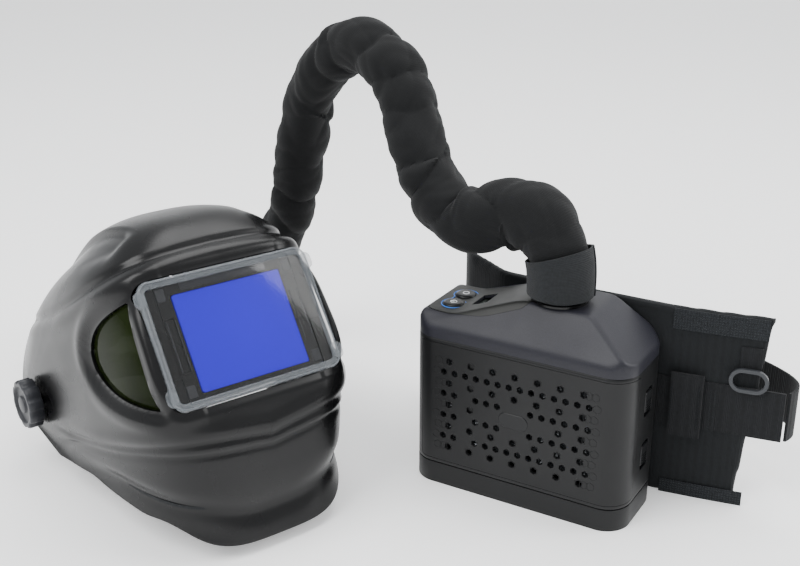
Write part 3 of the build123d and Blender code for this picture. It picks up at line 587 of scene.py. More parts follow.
def wrapped_band(name, line, first, width, radius, material):
    """A strip wrapped round a line from a distance before its end, lapping over its own start."""
    sides, ups = carry_frames(line)
    travel = np.concatenate([[0.0], np.cumsum(np.linalg.norm(np.diff(line, axis=0), axis=1))])
    rows = []
    for across in np.linspace(0, 1, 12):
        at = travel[-1] - first - across * width
        centre = np.array([np.interp(at, travel, line[:, k]) for k in range(3)])
        i = int(np.searchsorted(travel, at))
        row = []
        for angle in np.linspace(-2.2, 2 * math.pi - 1.75, 130):
            grow = radius + 1.3 * smoothstep(2 * math.pi - 2.4, 2 * math.pi - 1.95, angle)
            grow += 0.9 * across + 0.35 * math.sin(4 * angle)
            row.append(centre + grow * (math.cos(angle) * sides[i - 1] + math.sin(angle) * ups[i - 1]))
        rows.append(row)
    band = grid_piece(name, np.array(rows), material)
    tidy_normals(band.data)
    wall = band.modifiers.new("wall", "SOLIDIFY")
    wall.thickness = 1.4 * MM
    wall.offset = 0
    return crisp(settle(band), 50)


cuff_line = np.vstack([hose_line, hose_line[-1] + np.outer([3.0, 6.0, 9.0], [0.0, 0.0, -1.0])])
band = wrapped_band("closing_band", cuff_line, BAND_LOW, BAND_WIDE, BAND_R, hook_tape)
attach(band, "blower")
print("band is", BAND_WIDE, "mm wide")

# %% [markdown]
# The helmet's shell is the largest piece. Its surface is a fan of slices about one axis across
# the back of the jaw. Each slice is a squarish arch with a reach, a half width and a squareness,
# and a smooth curve runs through the slices from the crown to the lip of the chin.

# %% The shell's surface
SLICE_BACK, SLICE_START, SIDE_W, SHELL_T = 50.0, 24.0, 120.0, 3.0
SHELL_SLICES = [
    (-5, 122, 112, 2.4),
    (60, 131, 113, 2.5),
    (120, 132, 113, 2.7),
    (178, 120, 112, 3.0),
    (222, 97, 111, 3.6),
    (245, 62, 110, 5.0),
    (254, 30, 109, 7.0),
    (257, -18, 110, 8.0),
    (256, -66, 114, 7.0),
    (246, -100, 115, 5.0),
    (222, -145, 113, 4.2),
    (198, -182, 114, 3.8),
    (190, -204, 126, 3.5),
]
SHELL_ROWS, SHELL_ACROSS = 232, 201


def shell_grid(inset, rows=SHELL_ROWS, across=SHELL_ACROSS):
    """Points of the shell's surface, or of one a distance inside it, in the helmet's frame."""
    table = np.array(SHELL_SLICES, float)
    middle = table[:, :2]
    travel = np.concatenate([[0.0], np.cumsum(np.linalg.norm(np.diff(middle, axis=0), axis=1))])
    fwd, up, half, square = through(travel, table, np.linspace(0, travel[-1], rows)).T[:, :, None]
    reach = np.hypot(fwd + SLICE_BACK, up) - inset
    share = np.abs(np.linspace(-1, 1, across))[None, :]
    start_turn = np.arctan2(SLICE_START, reach)
    turn = math.pi / 2 - (math.pi / 2 - start_turn) * share
    scale = (np.cos(turn).clip(1e-9) ** square + np.sin(turn) ** square) ** (-1 / square)
    out, along = scale * np.cos(turn), scale * np.sin(turn)
    width = (half - inset) * along + (SIDE_W - inset) * (1 - along)
    x = np.sign(np.linspace(-1, 1, across))[None, :] * out * width
    slope = np.arctan2(up, fwd + SLICE_BACK)
    r = along * reach
    return np.stack([x, SLICE_BACK - r * np.cos(slope), r * np.sin(slope)], axis=2)


print("shell reaches forwards", round(-shell_grid(0)[:, :, 1].min()), "mm from its pivot")

# %% [markdown]
# What the mould adds to that surface: a crease under the brow with a full band below it, a step
# round each side window, two grooves round the cheeks and chin, a hollow under the chin, and a
# long scoop at each shoulder of the crown. Each is a soft height added along the surface's
# normal, and its line is given by how far round the helmet it is and how high.

# %% The shell's relief
BROW = [(0, 68), (7, 67), (14, 65), (23, 63), (38, 63), (60, 70), (85, 79), (130, 92)]
CHEEK_UPPER = [(0, -116), (19, -103), (39, -75), (81, -30), (120, -8)]
CHEEK_LOWER = [(0, -124), (18, -113), (31, -93), (55, -62), (90, -48)]
CHIN_FOLD = [(0, -176), (7, -175), (23, -152), (43, -104), (80, -84)]
WINDOW_CORNERS = [(-236, -68), (-233, 33), (-190, 30), (-164, 21), (-151, 2), (-164, -20), (-194, -44)]
LENS_W, LENS_H, LENS_UP = 172.0, 119.0, -16.0


def line_height(line, turn):
    """Height of a line round the helmet at an angle from straight ahead, in degrees."""
    knots, heights = zip(*line)
    return through(knots, heights, np.clip(turn, 0, knots[-1]).ravel()).reshape(turn.shape)


def window_outline():
    """The side window's outline seen from the side: a straight front edge and a round back."""
    top, bottom = WINDOW_CORNERS[1], WINDOW_CORNERS[0]
    back = round_corners(WINDOW_CORNERS[1:] + [bottom], 4)
    front = np.linspace(bottom, top, 12)[1:-1]
    return np.concatenate([back, front])


def outside_distance(outline, y, z):
    """Distance from points to a closed outline, below zero inside it."""
    p = np.stack([y.ravel(), z.ravel()], axis=1)
    a, b = outline, np.roll(outline, -1, axis=0)
    edge = b - a
    best, inside = np.full(len(p), 1e9), np.zeros(len(p), bool)
    for start_point, step in zip(a, edge):
        away = p - start_point
        t = np.clip(away @ step / (step @ step + 1e-12), 0, 1)
        best = np.minimum(best, np.linalg.norm(away - t[:, None] * step, axis=1))
        crosses = (start_point[1] > p[:, 1]) != (start_point[1] + step[1] > p[:, 1])
        x_at = start_point[0] + step[0] * (p[:, 1] - start_point[1]) / (step[1] if step[1] else 1e-12)
        inside ^= crosses & (p[:, 0] < x_at)
    return np.where(inside, -best, best).reshape(y.shape)


def frame_distance(x, z, width, height, corner):
    """Distance to a rounded rectangle on the helmet's front, below zero inside it."""
    dx, dz = np.abs(x) - width / 2 + corner, np.abs(z - LENS_UP) - height / 2 + corner
    return np.hypot(dx.clip(0), dz.clip(0)) + np.minimum(np.maximum(dx, dz), 0) - corner


def relief_height(points):
    """How far the mould's features stand out from the plain surface, in millimetres."""
    x, y, z = np.moveaxis(points, 2, 0)
    turn = np.degrees(np.arctan2(np.abs(x), np.maximum(-y, 1.0)))
    brow = z - line_height(BROW, turn)
    height = 1.2 * smoothstep(0, 6, brow) - 1.6 * hump(brow, 3.2) + 2.0 * hump(brow + 11, 6)
    height *= smoothstep(-30, 20, -y)
    for line, depth in ((CHEEK_UPPER, 2.0), (CHEEK_LOWER, 2.2)):
        fade = smoothstep(0, 50, -y) * (1 - smoothstep(58, 84, turn))
        height -= depth * hump(z - line_height(line, turn), 3.6) * fade
    between = (line_height(CHEEK_UPPER, turn) + line_height(CHEEK_LOWER, turn)) / 2
    height += 1.6 * hump(z - between, 5) * smoothstep(0, 80, -y)
    height += 1.8 * hump(z - line_height(CHEEK_UPPER, turn) - 9, 6) * smoothstep(60, 140, -y)
    height -= 3.4 * hump(z - line_height(CHIN_FOLD, turn), 9) * smoothstep(40, 110, -y)
    side = outside_distance(window_outline(), y, z)
    height -= 5.0 * (1 - smoothstep(1, 13, side)) * (np.abs(x) > 60)
    height += 1.2 * hump(side - 17, 6) * (np.abs(x) > 60)
    front = frame_distance(x, z, LENS_W + 2, LENS_H + 2, 13)
    height -= 2.5 * (1 - smoothstep(0, 7, front)) * (-y > 190)
    crown = smoothstep(70, 95, z) * smoothstep(218, 196, -y)
    scoop = smoothstep(52, 61, np.abs(x)) * (1 - smoothstep(74, 104, np.abs(x)))
    return height - 7.0 * crown * scoop


def surface_normals(points):
    """Outward directions of the shell's surface, from its grid."""
    down, across = np.gradient(points, axis=0), np.gradient(points, axis=1)
    normals = np.cross(down, across)
    normals /= np.linalg.norm(normals, axis=2)[:, :, None].clip(1e-9)
    away = points - np.array([0, -60.0, -20.0])
    return normals * np.sign((normals * away).sum(axis=2).mean())


print("brow is", round(float(line_height(BROW, np.array([[45.0]]))[0, 0])), "mm up at the temples")

# %% [markdown]
# The openings are cut by distance. Where the distance to an outline changes sign, each edge is
# split at the zero point and the faces inside are dropped, so a cut is as smooth as its outline.
# The sheet gets its 3 mm wall afterwards, with true edges all round the cuts.

# %% Cut the shell
RIM = [(-230, -262), (-191, -202), (-177, -174), (-140, -141), (-80, -96), (-20, -60), (60, -22)]


def clip_away(piece, distance):
    """Cut a piece where a distance of its points passes zero, and drop what is inside."""
    bm = bmesh.new()
    bm.from_mesh(piece.data)
    bm.verts.ensure_lookup_table()
    values = distance(np.array([v.co for v in bm.verts]) / MM)
    value = {v: d for v, d in zip(bm.verts, values)}
    for edge in list(bm.edges):
        one, two = value[edge.verts[0]], value[edge.verts[1]]
        if one * two < 0:
            first = edge.verts[0]
            value[bmesh.utils.edge_split(edge, first, one / (one - two))[1]] = 0.0
    for face in list(bm.faces):
        cut = [v for v in face.verts if value[v] == 0.0]
        if len(cut) == 2 and not any(set(cut) == set(e.verts) for e in face.edges):
            bmesh.utils.face_split(face, cut[0], cut[1])
    inside = [f for f in bm.faces if sum(value[v] for v in f.verts) < 0]
    bmesh.ops.delete(bm, geom=inside, context="FACES")
    bm.to_mesh(piece.data)
    bm.free()


def below_rim(points):
    """How far points stand above the shell's rim line; below zero under it."""
    y, z = zip(*RIM)
    return points[:, 2] - through(y, z, np.clip(points[:, 1], y[0], y[-1]))


def in_side_window(points, grow=0.0):
    return outside_distance(window_outline(), points[:, 1], points[:, 2]) - grow


def in_front_frame(points, width=LENS_W + 2, height=LENS_H + 2):
    away = frame_distance(points[:, 0], points[:, 2], width, height, 13)
    return np.where(points[:, 1] < -150, away, 50.0)


plain = shell_grid(0)
shaped = plain + surface_normals(plain) * relief_height(plain)[:, :, None]
shell = grid_piece("helmet_outer", shaped, nylon)
for cut in (below_rim, in_side_window, in_front_frame):
    clip_away(shell, cut)
tidy_normals(shell.data)
if sum(p.normal.y * p.area for p in shell.data.polygons) > 0:
    shell.data.flip_normals()
shell = thicken(shell, SHELL_T)
shell = blunt(shell, 0.7, 2, 55)
shell.data.transform(Matrix.Scale(MM, 4) @ helmet_at @ Matrix.Scale(1 / MM, 4))
crisp(shell, 40)
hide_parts("helmet_shell")
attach(shell, "shell")
print("shell has", len(shell.data.polygons), "faces")

# %% [markdown]
# Each side window is a pane that follows the shell's own surface, 8 mm inside it, so the step
# round it shows as a lit crescent. It is cut a little larger than the hole.

# %% Side windows
for side, name in ((1, "left"), (-1, "right")):
    pane = grid_piece(f"side_pane_{name}", shell_grid(8.0, 110, 141), shade_green)
    clip_away(pane, lambda p: -in_side_window(p, 4.0))
    clip_away(pane, lambda p: p[:, 0] * side - 40)
    tidy_normals(pane.data)
    if sum(p.normal.x * p.area for p in pane.data.polygons) * side < 0:
        pane.data.flip_normals()
    pane = thicken(pane, 2.0)
    pane.data.transform(Matrix.Scale(MM, 4) @ helmet_at @ Matrix.Scale(1 / MM, 4))
    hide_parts(f"side_window_{name}")
    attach(pane, "shell")
print("side windows made")

# %% [markdown]
# The front parts are flat and lie in planes that face forwards. One helper sweeps a small
# section round a rounded rectangle, for rims and frames, and another makes a rounded plate.

# %% Helpers for flat parts
def rounded_rectangle(width, height, corner, arc=10):
    """Corner arcs of a rounded rectangle, as points round it and the directions outwards."""
    points, outward = [], []
    for cx, cz, first in ((1, 1, 0), (-1, 1, 90), (-1, -1, 180), (1, -1, 270)):
        for step in range(arc + 1):
            angle = math.radians(first + 90 * step / arc)
            away = (math.cos(angle), math.sin(angle))
            points.append((cx * (width / 2 - corner) + corner * away[0],
                           cz * (height / 2 - corner) + corner * away[1]))
            outward.append(away)
    return np.array(points), np.array(outward)


def swept_frame(name, outline, section, centre, material):
    """A section of (outwards, forwards) points swept round an outline on the helmet's front."""
    points, outward = outline
    section = np.array(section, float)
    flat = points[:, None] + outward[:, None] * section[None, :, :1]
    y = np.broadcast_to(-section[None, :, 1], flat.shape[:2])
    grid = np.stack([flat[:, :, 0] + centre[0], y, flat[:, :, 1] + centre[1]], axis=2)
    grid = np.concatenate([grid, grid[:1]], axis=0)
    piece = grid_piece(name, grid, material, wrap=True, place=helmet_at)
    tidy_normals(piece.data)
    return crisp(piece, 50)


def round_section(low, high, back, front, corner=0.8):
    """A rectangle with cut corners, from low to high outwards and from back to front."""
    return [(low + corner, back), (high - corner, back), (high, back + corner), (high, front - corner),
            (high - corner, front), (low + corner, front), (low, front - corner), (low, back + corner)]


def rounded_plate(name, outline, back, front, centre, material, edge=0.6):
    """A flat plate with softened edges, between two distances forwards."""
    points, outward = outline
    rings = []
    for inwards, y in ((edge, back), (0, back + edge), (0, front - edge), (edge, front)):
        flat = points - outward * inwards
        rings.append([(px + centre[0], -y, pz + centre[1]) for px, pz in flat])
    return crisp(grid_piece(name, np.array(rings), material, wrap=True, caps=True, place=helmet_at), 30)


print("a rim corner has", len(rounded_rectangle(10, 10, 2)[0]) // 4, "points")

# %% [markdown]
# The cover lens is one moulding: a flat clear pane, a thicker frosted rim with a raised lip, and
# four round lugs at its sides for pulling it out. It sits in front of the opening.

# %% Cover lens
LENS_FWD = 246.2
LENS_CENTRE = (0, LENS_UP)
pane = rounded_plate("cover_pane", rounded_rectangle(LENS_W - 13, LENS_H - 13, 9),
                     LENS_FWD + 0.6, LENS_FWD + 2.4, LENS_CENTRE, clear_pc, 0.4)
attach(pane, "shell")
rim_line = rounded_rectangle(LENS_W, LENS_H, 12)
rim = swept_frame("cover_rim", rim_line, round_section(-7.5, 0, LENS_FWD, LENS_FWD + 3.0, 1.0),
                  LENS_CENTRE, frosted_pc)
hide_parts("cover_lens")
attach(rim, "shell")
lip = swept_frame("cover_lip", rim_line, round_section(-2.6, -0.6, LENS_FWD + 2.9, LENS_FWD + 4.4, 0.5),
                  LENS_CENTRE, frosted_pc)
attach(lip, "shell")
for side, name in ((1, "left"), (-1, "right")):
    for height, level in ((44, "upper"), (-45, "lower")):
        spot = (side * (LENS_W / 2 - 1.5), LENS_UP + height)
        lug = rounded_plate(f"cover_lug_{name}_{level}", rounded_rectangle(11, 16, 5.4),
                            LENS_FWD + 1.0, LENS_FWD + 4.6, spot, frosted_pc, 1.3)
        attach(lug, "shell")
print("cover lens", LENS_W, "by", LENS_H, "mm")

# %% [markdown]
# Behind it is the filter cartridge: a black frame round the coated glass, a strip of solar
# cells with the arc sensor above it, and a battery tray at the side.

# %% Filter cartridge
FILTER_UP, GLASS_FRONT = -18.0, 244.4
glass_line = rounded_rectangle(111, 91, 3.5)
glass = rounded_plate("filter_glass", glass_line, 240.2, GLASS_FRONT, (1.5, FILTER_UP),
                      coated_glass, 0.5)
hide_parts("darkening_glass")
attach(glass, "shell")
for x, count in ((-62.0, 2), (63.0, 2)):
    for i in range(count):
        rail = rounded_plate(f"cartridge_rail_{'right' if x < 0 else 'left'}_{i}",
                             rounded_rectangle(1.3, 47, 0.6), 243.8, 245.6,
                             (x - 4.2 + 8.4 * i, FILTER_UP), knob_pp, 0.3)
        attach(rail, "shell")
for side, name in ((1, "left"), (-1, "right")):
    for height, level in ((47, "upper"), (-42, "lower")):
        clip = rounded_plate(f"cartridge_clip_{name}_{level}", rounded_rectangle(9, 12, 2),
                             242, 245.8, (side * 64, FILTER_UP + height), knob_pp, 0.8)
        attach(clip, "shell")
print("coated glass 111 by 91 mm")

# %% [markdown]
# The pivot knobs have a deep rim of ten finger scallops, a sunk face and a raised boss. A
# profile is turned round the axis, and the scallops pull in only the rings of the rim.

# %% Pivot knobs
KNOB_R, SCALLOPS = 25.0, 10
# how far out, how far from the helmet, and how much of the scallops each ring takes
KNOB_RINGS = [(0.30, 0.0, 0), (0.94, 0.0, 1), (1.0, 0.8, 1), (1.0, 12.6, 1), (0.97, 14.4, 0.9), (0.9, 15.0, 0.7),
              (0.80, 15.0, 0.3), (0.76, 14.4, 0), (0.74, 12.6, 0), (0.70, 12.2, 0), (0.40, 12.6, 0),
              (0.36, 13.0, 0), (0.35, 14.4, 0), (0.32, 14.9, 0), (0.05, 15.2, 0)]
for side, name in ((1, "left"), (-1, "right")):
    turn = np.linspace(0, 2 * math.pi, 180, endpoint=False)
    dent = 0.06 * np.maximum(np.cos(SCALLOPS * turn), -0.25) + 0.015
    rings = []
    for share, out, scalloped in KNOB_RINGS:
        r = KNOB_R * share * (1 - dent * scalloped)
        rings.append(np.stack([np.full_like(turn, side * (SIDE_W + 1.5 + out)), r * np.cos(turn),
                               r * np.sin(turn)], axis=1))
    knob = grid_piece(f"knob_{name}", np.array(rings), knob_pp, wrap=True, caps=True, place=helmet_at)
    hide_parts(f"pivot_knob_{name}")
    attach(knob, f"knob_{name}")
print("knobs", 2 * KNOB_R, "mm across")

# %% [markdown]
# The blower's case, battery and front cover share one plan: a rectangle with large round
# corners. Rings of that plan at several heights make each of them, and the front cover is the
# part of the case's skin between two seams, one near each corner.

# %% Case, cover and battery
BLOWER_W, BLOWER_D, CORNER_R = 224.0, 95.0, 25.0
BATTERY_TOP, CASE_TOP, LID_FOOT = 26.6, 161.0, 161.3
COVER_LOW, COVER_HIGH, COVER_Z = 31.0, 157.0, 93.8
SEAM_LEFT_Y, SEAM_RIGHT_Y = -44.0, -20.0
LATCH_Y, LATCH_HEIGHTS = 6.0, {"battery_latch": 66.0, "filter_latch": 122.0}


def plan_ring(inset, height, count=360):
    """Points round the blower's plan at a height, drawn in by an inset."""
    points, _ = rounded_rectangle(BLOWER_W - 2 * inset, BLOWER_D - 2 * inset, CORNER_R - inset, 24)
    line = evenly(np.concatenate([points, points[:1]]), count + 1)[:-1]
    return np.column_stack([line, np.full(count, height)])


def cover_distance(points, gap):
    """Distance to the front cover's outline on the case's skin, below zero inside it."""
    x, y, z = points.T
    seam = np.where(x < 0, SEAM_LEFT_Y, SEAM_RIGHT_Y)
    return np.maximum.reduce([y - seam, COVER_LOW - z, z - COVER_HIGH]) - gap


def latch_distance(points):
    """Distance to the nearer latch pocket in the case's right side, below zero inside it."""
    x, y, z = points.T
    level = np.minimum.reduce([np.abs(z - height) for height in LATCH_HEIGHTS.values()])
    return np.where(x > 90, np.maximum(np.abs(y - LATCH_Y) - 9.3, level - 14.0), 50.0)


heights = [BATTERY_TOP + 0.4, BATTERY_TOP + 1.2, *np.linspace(BATTERY_TOP + 3, CASE_TOP - 3, 46),
           CASE_TOP - 0.8, CASE_TOP]
insets = [0.9, 0.1, *[0.0] * 46, 0.1, 0.9]
skin = np.array([plan_ring(i, h) for i, h in zip(insets, heights)])
case = grid_piece("case_skin", skin, case_abs, wrap=True)
clip_away(case, lambda p: cover_distance(p, 0.2))
clip_away(case, latch_distance)
cover = grid_piece("cover_skin", skin, case_abs, wrap=True)
clip_away(cover, lambda p: -cover_distance(p, -0.2))
for piece, wall in ((case, 2.5), (cover, 2.4)):
    tidy_normals(piece.data)
    if sum(p.normal.dot(p.center - Vector((0, 0, 0.09))) * p.area for p in piece.data.polygons) < 0:
        piece.data.flip_normals()
    thicken(piece, wall)
case = blunt(case, 0.5, 2, 60)
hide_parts("main_case")
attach(case, "blower")
battery_rings = [(4.0, 0.0), (1.6, 0.3), (0.5, 1.2), (0.0, 3.0), (0.0, 25.4), (0.2, 26.2), (0.8, 26.6)]
battery = grid_piece("battery_shell", np.array([plan_ring(i, h) for i, h in battery_rings]), case_abs,
                     wrap=True, caps=True)
crisp(battery, 40)
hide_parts("battery_case")
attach(battery, "battery")
print("case skin", BLOWER_W, "by", BLOWER_D, "mm")

# %% [markdown]
# The cover's air holes are a job for Geometry Nodes. Two grids of points give dense and sparse
# rows, the points in the middle are dropped to leave room for a blank plaque, and a six-sided
# cone at each point is cut out of the cover, so each hole is wider outside than inside.

# %% Air holes by Geometry Nodes
HOLE_PITCH, HOLE_WIDE, DENSE, SPARSE = 11.5, 3.9, (14, 4), (7, 5)


def new_tree(name, inputs):
    """A Geometry Nodes tree with named inputs and a geometry output."""
    tree = bpy.data.node_groups.new(name, "GeometryNodeTree")
    tree.interface.new_socket("Geometry", in_out="INPUT", socket_type="NodeSocketGeometry")
    for label, (kind, value) in inputs.items():
        socket = tree.interface.new_socket(label, in_out="INPUT", socket_type=kind)
        if value is not None:
            socket.default_value = value
    tree.interface.new_socket("Geometry", in_out="OUTPUT", socket_type="NodeSocketGeometry")
    return tree, tree.nodes.new("NodeGroupInput"), tree.nodes.new("NodeGroupOutput")


def run_tree(piece, tree, values):
    """Give a piece a tree as a modifier, set its inputs by identifier and settle the result."""
    modifier = piece.modifiers.new("nodes", "NODES")
    modifier.node_group = tree
    for item in tree.interface.items_tree:
        if item.in_out == "INPUT" and item.name in values:
            modifier[item.identifier] = values[item.name]
    return settle(piece)


tree, given, result = new_tree("air_holes", {"Pitch": ("NodeSocketFloat", 0.0115),
                               "Hole Radius": ("NodeSocketFloat", 0.0039),
                               "Height": ("NodeSocketFloat", 0.0938),
                               "Material": ("NodeSocketMaterial", None)})
grids = []
for columns, rows, step in ((*DENSE, 1), (*SPARSE, 2)):
    wide = node(tree, "ShaderNodeMath", {0: given.outputs["Pitch"], 1: float(step * (columns - 1))},
                operation="MULTIPLY")
    high = node(tree, "ShaderNodeMath", {0: given.outputs["Pitch"], 1: 2.0 * (rows - 1)},
                operation="MULTIPLY")
    grids.append(node(tree, "GeometryNodeMeshGrid", {"Size X": wide.outputs[0],
                      "Size Y": high.outputs[0],
                      "Vertices X": columns, "Vertices Y": rows}))
both = tree.nodes.new("GeometryNodeJoinGeometry")
for grid in reversed(grids):
    tree.links.new(grid.outputs["Mesh"], both.inputs["Geometry"])
spot = node(tree, "GeometryNodeInputPosition")
flat = node(tree, "ShaderNodeVectorMath", {0: spot.outputs[0], 1: (1 / 2.2, 1.0, 0.0)},
            operation="MULTIPLY")
away = node(tree, "ShaderNodeVectorMath", {0: flat.outputs[0]}, operation="LENGTH")
near = node(tree, "FunctionNodeCompare", {"A": away.outputs["Value"], "B": 0.012}, operation="LESS_THAN")
open_grid = node(tree, "GeometryNodeDeleteGeometry", {"Geometry": both.outputs[0],
                 "Selection": near.outputs[0]}, domain="POINT")
inner = node(tree, "ShaderNodeMath", {0: given.outputs["Hole Radius"], 1: 0.66}, operation="MULTIPLY")
drill = node(tree, "GeometryNodeMeshCone", {"Vertices": 6, "Radius Top": given.outputs["Hole Radius"],
             "Radius Bottom": inner.outputs[0], "Depth": 0.0034})
turned = node(tree, "GeometryNodeTransform", {"Geometry": drill.outputs["Mesh"],
              "Translation": (0.0, 0.0, -0.0028), "Rotation": (0.0, 0.0, math.pi / 6)})
drills = node(tree, "GeometryNodeInstanceOnPoints", {"Points": open_grid.outputs[0],
              "Instance": turned.outputs[0]})
real = node(tree, "GeometryNodeRealizeInstances", {0: drills.outputs[0]})
lift = node(tree, "ShaderNodeCombineXYZ", {"Y": -BLOWER_D / 2 * MM, "Z": given.outputs["Height"]})
upright = node(tree, "GeometryNodeTransform", {"Geometry": real.outputs[0],
               "Translation": lift.outputs[0], "Rotation": (math.pi / 2, 0.0, 0.0)})
cut = node(tree, "GeometryNodeMeshBoolean", {"Mesh 1": given.outputs["Geometry"],
           "Mesh 2": upright.outputs[0]}, operation="DIFFERENCE")
last = node(tree, "GeometryNodeRealizeInstances", {0: cut.outputs["Mesh"]})
painted = node(tree, "GeometryNodeSetMaterial", {"Geometry": last.outputs[0],
               "Material": given.outputs["Material"]})
tree.links.new(painted.outputs[0], result.inputs[0])
run_tree(cover, tree, {"Pitch": HOLE_PITCH * MM, "Hole Radius": HOLE_WIDE * MM, "Height": COVER_Z * MM,
                       "Material": case_abs})
crisp(cover, 40)
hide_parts("filter_cover")
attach(cover, "front_cover")
print("cover with holes has", len(cover.data.polygons), "faces")

# %% [markdown]
# At both ends of the hole pattern the mould leaves faint outlines of hexagons, and a blank
# plaque fills the middle. The outlines are thin six-sided rings on points, again by nodes.

# %% Hexagon outlines and plaque
tree, given, result = new_tree("hexagon_outlines", {"Radius": ("NodeSocketFloat", 0.004),
                               "Line": ("NodeSocketFloat", 0.0002),
                               "Material": ("NodeSocketMaterial", None)})
ring = node(tree, "GeometryNodeCurvePrimitiveCircle", {"Resolution": 6,
            "Radius": given.outputs["Radius"]})
thread = node(tree, "GeometryNodeCurvePrimitiveCircle", {"Resolution": 6,
              "Radius": given.outputs["Line"]})
outline = node(tree, "GeometryNodeCurveToMesh", {"Curve": ring.outputs["Curve"],
               "Profile Curve": thread.outputs["Curve"]})
stand = node(tree, "GeometryNodeTransform", {"Geometry": outline.outputs[0],
             "Rotation": (math.pi / 2, math.pi / 6, 0.0)})
spread = node(tree, "GeometryNodeInstanceOnPoints", {"Points": given.outputs["Geometry"],
              "Instance": stand.outputs[0]})
real = node(tree, "GeometryNodeRealizeInstances", {0: spread.outputs[0]})
painted = node(tree, "GeometryNodeSetMaterial", {"Geometry": real.outputs[0],
               "Material": given.outputs["Material"]})
tree.links.new(painted.outputs[0], result.inputs[0])
spots = []
for side in (-1, 1):
    for row in range(-4, 5):
        odd = row % 2
        shifts = (0.0,) if odd else (0.5, -0.5)
        for shift in shifts:
            x = side * (77.0 + 6.5 * shift + (5.5 if odd else 0.0))
            spots.append((x, -BLOWER_D / 2, COVER_Z + row * HOLE_PITCH))
for row in range(-4, 5, 2):
    for column in range(-6, 7, 2):
        x = column * HOLE_PITCH
        if math.hypot(x / 2.2, row * HOLE_PITCH) > 14:
            spots.append((x, -BLOWER_D / 2, COVER_Z + row * HOLE_PITCH))
mesh = bpy.data.meshes.new("outlines")
mesh.from_pydata([tuple(v * MM for v in p) for p in spots], [], [])
outlines = add_object("hexagon_outlines", mesh, case_abs)
run_tree(outlines, tree, {"Radius": 4.3 * MM, "Line": 0.28 * MM, "Material": case_abs})
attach(outlines, "front_cover")


def upright_plate(name, outline, back, front, centre, material, edge=0.4):
    """A rounded plate that stands on the blower's front; distances are forwards from y = 0."""
    points, outward = outline
    rings = [[(px + centre[0], -y, pz + centre[1]) for px, pz in points - outward * inwards]
             for inwards, y in ((0, back), (0, front - edge), (edge, front))]
    return crisp(grid_piece(name, np.array(rings), material, wrap=True, caps=True), 30)


plaque = upright_plate("blank_plaque", rounded_rectangle(30, 15, 7), 47.0, 48.1, (0, COVER_Z), plain_abs)
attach(plaque, "front_cover")
print(len(spots), "hexagon outlines")

# %% [markdown]
# The lid is two low roofs that run into each other: a small one for the controls and a taller
# one for the outlet. Each roof is the lowest of its planes. A smooth minimum and a smooth
# maximum join the planes, which rounds every edge of the moulding at once.

# %% Lid
SKIRT_TOP, PANEL_Z, ROOF_Z, LID_EDGE = 170.3, 184.0, 206.0, 4.0
# plane foot on the plan and the top's edge, for front, back, left and right
ROOF_PLANES = [("y", -47.5, -20.0), ("y", 47.5, 40.0), ("x", -112.0, -9.0), ("x", 112.0, 61.0)]
PANEL_PLANES = [("y", -47.5, -36.0), ("y", 47.5, 40.0), ("x", -112.0, -105.0), ("x", 112.0, -43.0)]


def roof_height(x, y, planes, top, soft):
    """Height of one roof: a smooth minimum of its planes and its flat top."""
    total = np.exp(-(np.full_like(x, top)) / soft)
    for axis, foot, edge in planes:
        along = (x if axis == "x" else y) - foot
        total = total + np.exp(-(SKIRT_TOP + (top - SKIRT_TOP) * along / (edge - foot)) / soft)
    return -soft * np.log(total)


def plan_distance(x, y):
    """Distance in from the blower's plan, below zero outside it."""
    dx, dy = np.abs(x) - BLOWER_W / 2 + CORNER_R, np.abs(y) - BLOWER_D / 2 + CORNER_R
    return CORNER_R - np.hypot(dx.clip(0), dy.clip(0)) - np.minimum(np.maximum(dx, dy), 0)


def lid_height(x, y):
    """Height of the lid's top at a place in plan, with its outer edge rounded over."""
    tall = roof_height(x, y, ROOF_PLANES, ROOF_Z, 1.6)
    low = roof_height(x, y, PANEL_PLANES, PANEL_Z, 1.2)
    high = 1.5 * np.log(np.exp((tall - SKIRT_TOP) / 1.5) + np.exp((low - SKIRT_TOP) / 1.5)) + SKIRT_TOP
    left = (LID_EDGE - plan_distance(x, y)).clip(0, LID_EDGE)
    return high - (LID_EDGE - np.sqrt(LID_EDGE**2 - left**2)) * 0.9


xs, ys = np.linspace(-112, 112, 188), np.linspace(-47.5, 47.5, 81)
X, Y = np.meshgrid(xs, ys)
lid = grid_piece("lid", np.stack([X, Y, lid_height(X, Y)], axis=2), lid_abs)
clip_away(lid, lambda p: plan_distance(p[:, 0], p[:, 1]) - 0.15)
clip_away(lid, lambda p: np.maximum(np.abs(p[:, 0] + 57) - 7.3, np.abs(p[:, 1] - 2) - 13.3))
clip_away(lid, lambda p: np.hypot(p[:, 0] - OUTLET[0], p[:, 1] - OUTLET[1]) - 18.0)
bm = bmesh.new()
bm.from_mesh(lid.data)
bmesh.ops.remove_doubles(bm, verts=bm.verts, dist=1e-6)
hem = [e for e in bm.edges if e.is_boundary
       and all(plan_distance(np.array(v.co.x / MM), np.array(v.co.y / MM)) < 1.0 for v in e.verts)]
grown = bmesh.ops.extrude_edge_only(bm, edges=hem)
for v in [g for g in grown["geom"] if isinstance(g, bmesh.types.BMVert)]:
    v.co.z = LID_FOOT * MM
bmesh.ops.recalc_face_normals(bm, faces=bm.faces)
if sum(f.normal.z * f.calc_area() for f in bm.faces) < 0:
    bmesh.ops.reverse_faces(bm, faces=bm.faces)
bm.to_mesh(lid.data)
bm.free()
lid = thicken(lid, 2.4)
crisp(lid, 45)
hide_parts("top_cover")
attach(lid, "blower")
print("lid rises to", round(float(lid_height(np.array([20.0]), np.array([10.0]))[0])), "mm")

